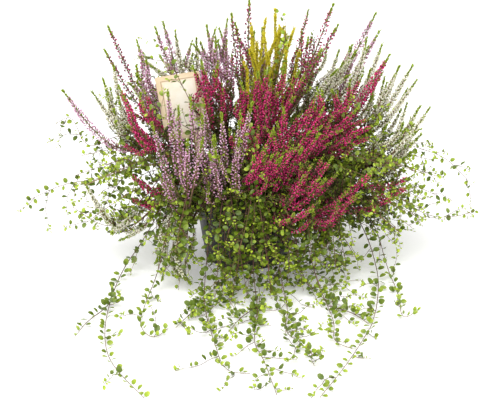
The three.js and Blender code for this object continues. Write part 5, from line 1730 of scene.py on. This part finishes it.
# %% The soil's surface
SOIL_ROUND, SOIL_RINGS, SOIL_SEED = 48, 14, 5
SURFACE, HIGHEST = SOIL_TOP - 1.5, SOIL_TOP + 1.4
WAVES = ((0.09, 0.07, 1), (0.23, 0.19, 2), (0.5, 0.6, 4))
WAVE_HEIGHT, ROUGH_HEIGHT = 0.8, 0.45
rng = np.random.default_rng(SOIL_SEED)
soil_bunch = Bunch()
soil_edge, bed = inner_radius(SOIL_TOP) - 0.5, POT_FLOOR + 0.3
rows = [(0, bed), (inner_radius(POT_FLOOR) - 3, bed), (inner_radius(POT_FLOOR + 3) - 0.5, POT_FLOOR + 3)]
rows += [(soil_edge * (SOIL_RINGS - k) / SOIL_RINGS, SURFACE) for k in range(SOIL_RINGS)] + [(0, SURFACE)]
lathe(soil_bunch, rows, SOIL_ROUND)
ground = soil_bunch.points[0]
top = ground[:, 2] > SURFACE - 1.5
waves = sum(np.sin(ground[:, 0] * a + p) * np.cos(ground[:, 1] * b - p) for a, b, p in WAVES)
ground[top, 2] += (waves * WAVE_HEIGHT + rng.normal(0, ROUGH_HEIGHT, len(ground)))[top]
ground[:, 2] = np.minimum(ground[:, 2], HIGHEST)
print("soil surface from", ground[top, 2].min().round(1), "to", ground[top, 2].max().round(1), "mm")

# %% Loose crumbs
CRUMBS, CRUMB_SIZES, CRUMB_EDGE = 420, (1.2, 3.6), 3
CRUMB = spun([(0, 0), (0.25, 0.42), (0.7, 0.46), (1, 0)], 4)
spots = rng.uniform(-1, 1, (CRUMBS * 2, 2)) * (soil_edge - CRUMB_EDGE)
spots = spots[np.hypot(spots[:, 0], spots[:, 1]) < soil_edge - CRUMB_EDGE][:CRUMBS]
n = len(spots)
aim = unit(rng.normal(0, 1, (n, 3)))
size = rng.uniform(*CRUMB_SIZES, n)
seat = np.column_stack([spots, np.full(n, SOIL_TOP - 0.6)]) - aim * size[:, None] / 2
across = unit(rng.normal(0, 1, (n, 3)))
scatter(soil_bunch, CRUMB, seat, aim, across, size, size, size * 0.8, rng.uniform(0, 1, n), 0)
print("crumbs:", n)

# %% The soil's finish
PEAT, tree, shader = new_finish("peaty_soil", 0.95, 0.15)
grain = noise(tree, own_place(tree), 420.0, 6.0)
browns = ramp(tree, grain, shades((0.3, 22, 15, 11), (0.55, 52, 36, 26), (0.75, 96, 70, 48)))
tree.links.new(browns, shader.inputs["Base Color"])
tree.links.new(in_range(tree, grain, 0.85, 1.0), shader.inputs["Roughness"])
bump(tree, shader, grain, 0.001, 0.9)
soil, triangles = make_piece("potting_soil", soil_bunch, [PEAT], own_map=False)
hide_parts("soil")
print("soil triangles:", triangles)

# %% [markdown]
# ## The label
# The label is a card on a pointed stake, cut from one sheet. Damp makes such a card bow a little, and a
# flat box would look like a block, so it is built as two sheets of small squares, bowed together and
# closed round the edge. Its border is ruled by the finish, from how far each point is from the edge.

# %% The label's outline
CARD, STAKE_WIDTH, STAKE_DEPTH, STAKE_POINT = 1.2, 11, 32, 16
CORNER, CORNER_TURNS = 2.0, range(0, 91, 30)
BOW, BACK_LEAN = 0.9, 0.45


def card_outline():
    """Half of the label's outline, from the stake's point up to the top: across and up."""
    low, high, w, s = panel_low, panel_low + LABEL_HEIGHT, LABEL_WIDTH / 2, STAKE_WIDTH / 2
    turns = [math.radians(angle) for angle in CORNER_TURNS]
    half = [(0.3, -STAKE_DEPTH), (s, STAKE_POINT - STAKE_DEPTH), (s, low - 6)]
    half += [(s + 1.5, low - 2), (s + 5, low)]
    half += [(w - CORNER + CORNER * math.sin(a), low + CORNER - CORNER * math.cos(a)) for a in turns]
    half += [(w, low + LABEL_HEIGHT * f) for f in (0.25, 0.5, 0.75)]
    return half + [(w - CORNER + CORNER * math.cos(a), high - CORNER + CORNER * math.sin(a)) for a in turns]


half = card_outline()
print("rows up the label:", len(half))

# %% The label's two faces and its edge
COLUMNS = 13
points, marks = [], []
for side in (-0.5, 0.5):
    for wide, up in half:
        above = max(0, up - panel_low) / LABEL_HEIGHT
        aside = PANEL_ASIDE if up >= panel_low else 0
        for share in np.linspace(-1, 1, COLUMNS):
            u = wide * share
            bow = BOW * (1 - (u / (LABEL_WIDTH / 2)) ** 2) * above
            points.append(on_label(u + aside, side * CARD + bow - BACK_LEAN * above, up))
            marks.append((0.5, (up - panel_low) / LABEL_HEIGHT, 0.5 + u / LABEL_WIDTH))
n = len(half) * COLUMNS


def edge_face(a, step, flip):
    """A face over the card's thickness, between a point of its edge and the next."""
    face = (a, n + a, n + a + step, a + step)
    return face[::-1] if flip else face


faces = []
for r in range(len(half) - 1):
    for c in range(COLUMNS - 1):
        a = r * COLUMNS + c
        faces.append((a, a + 1, a + COLUMNS + 1, a + COLUMNS))
        faces.append((n + a, n + a + COLUMNS, n + a + COLUMNS + 1, n + a + 1))
    faces.append(edge_face(r * COLUMNS, COLUMNS, True))
    faces.append(edge_face(r * COLUMNS + COLUMNS - 1, COLUMNS, False))
for r, flip in ((0, False), (len(half) - 1, True)):
    faces += [edge_face(r * COLUMNS + c, 1, flip) for c in range(COLUMNS - 1)]
label_bunch = Bunch()
label_bunch.put(np.array(points), np.array(marks), 0, np.array(faces))
print("label faces:", len(faces))


# %% The label's finish
def edge_distance(tree, value):
    """How far a mark lies from the nearer end, from 0 at the edges to 0.5 in the middle."""
    from_middle = worked_out(tree, "ABSOLUTE", worked_out(tree, "SUBTRACT", value, 0.5))
    return worked_out(tree, "SUBTRACT", 0.5, from_middle)


CREAM_CARD, tree, shader = new_finish("cream_card", 0.62, 0.3)
tall = worked_out(tree, "MULTIPLY", edge_distance(tree, mark(tree, "along")), LABEL_HEIGHT / LABEL_WIDTH)
nearest = worked_out(tree, "MINIMUM", tall, edge_distance(tree, mark(tree, "round")))
panel = ramp(tree, nearest, shades(
    (0.0, 238, 220, 190), (0.1, 244, 228, 200), (0.115, 186, 156, 122),
    (0.135, 252, 242, 222), (0.2, 255, 250, 236), (0.45, 255, 252, 240),
))
where = own_place(tree)
blotch = noise(tree, where, 60.0, 4.0)
creams = ramp(tree, blotch, shades((0.3, 250, 240, 222), (0.65, 255, 254, 250)))
tree.links.new(mixed(tree, 0.8, panel, creams, "MULTIPLY"), shader.inputs["Base Color"])
tree.links.new(in_range(tree, blotch, 0.5, 0.7), shader.inputs["Roughness"])
bump(tree, shader, noise(tree, where, 700.0, 3.0), 0.0002, 0.5)
label, triangles = make_piece("bare_plant_label", label_bunch, [CREAM_CARD], smooth=False, own_map=False)
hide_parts("label")
print("label triangles:", triangles)
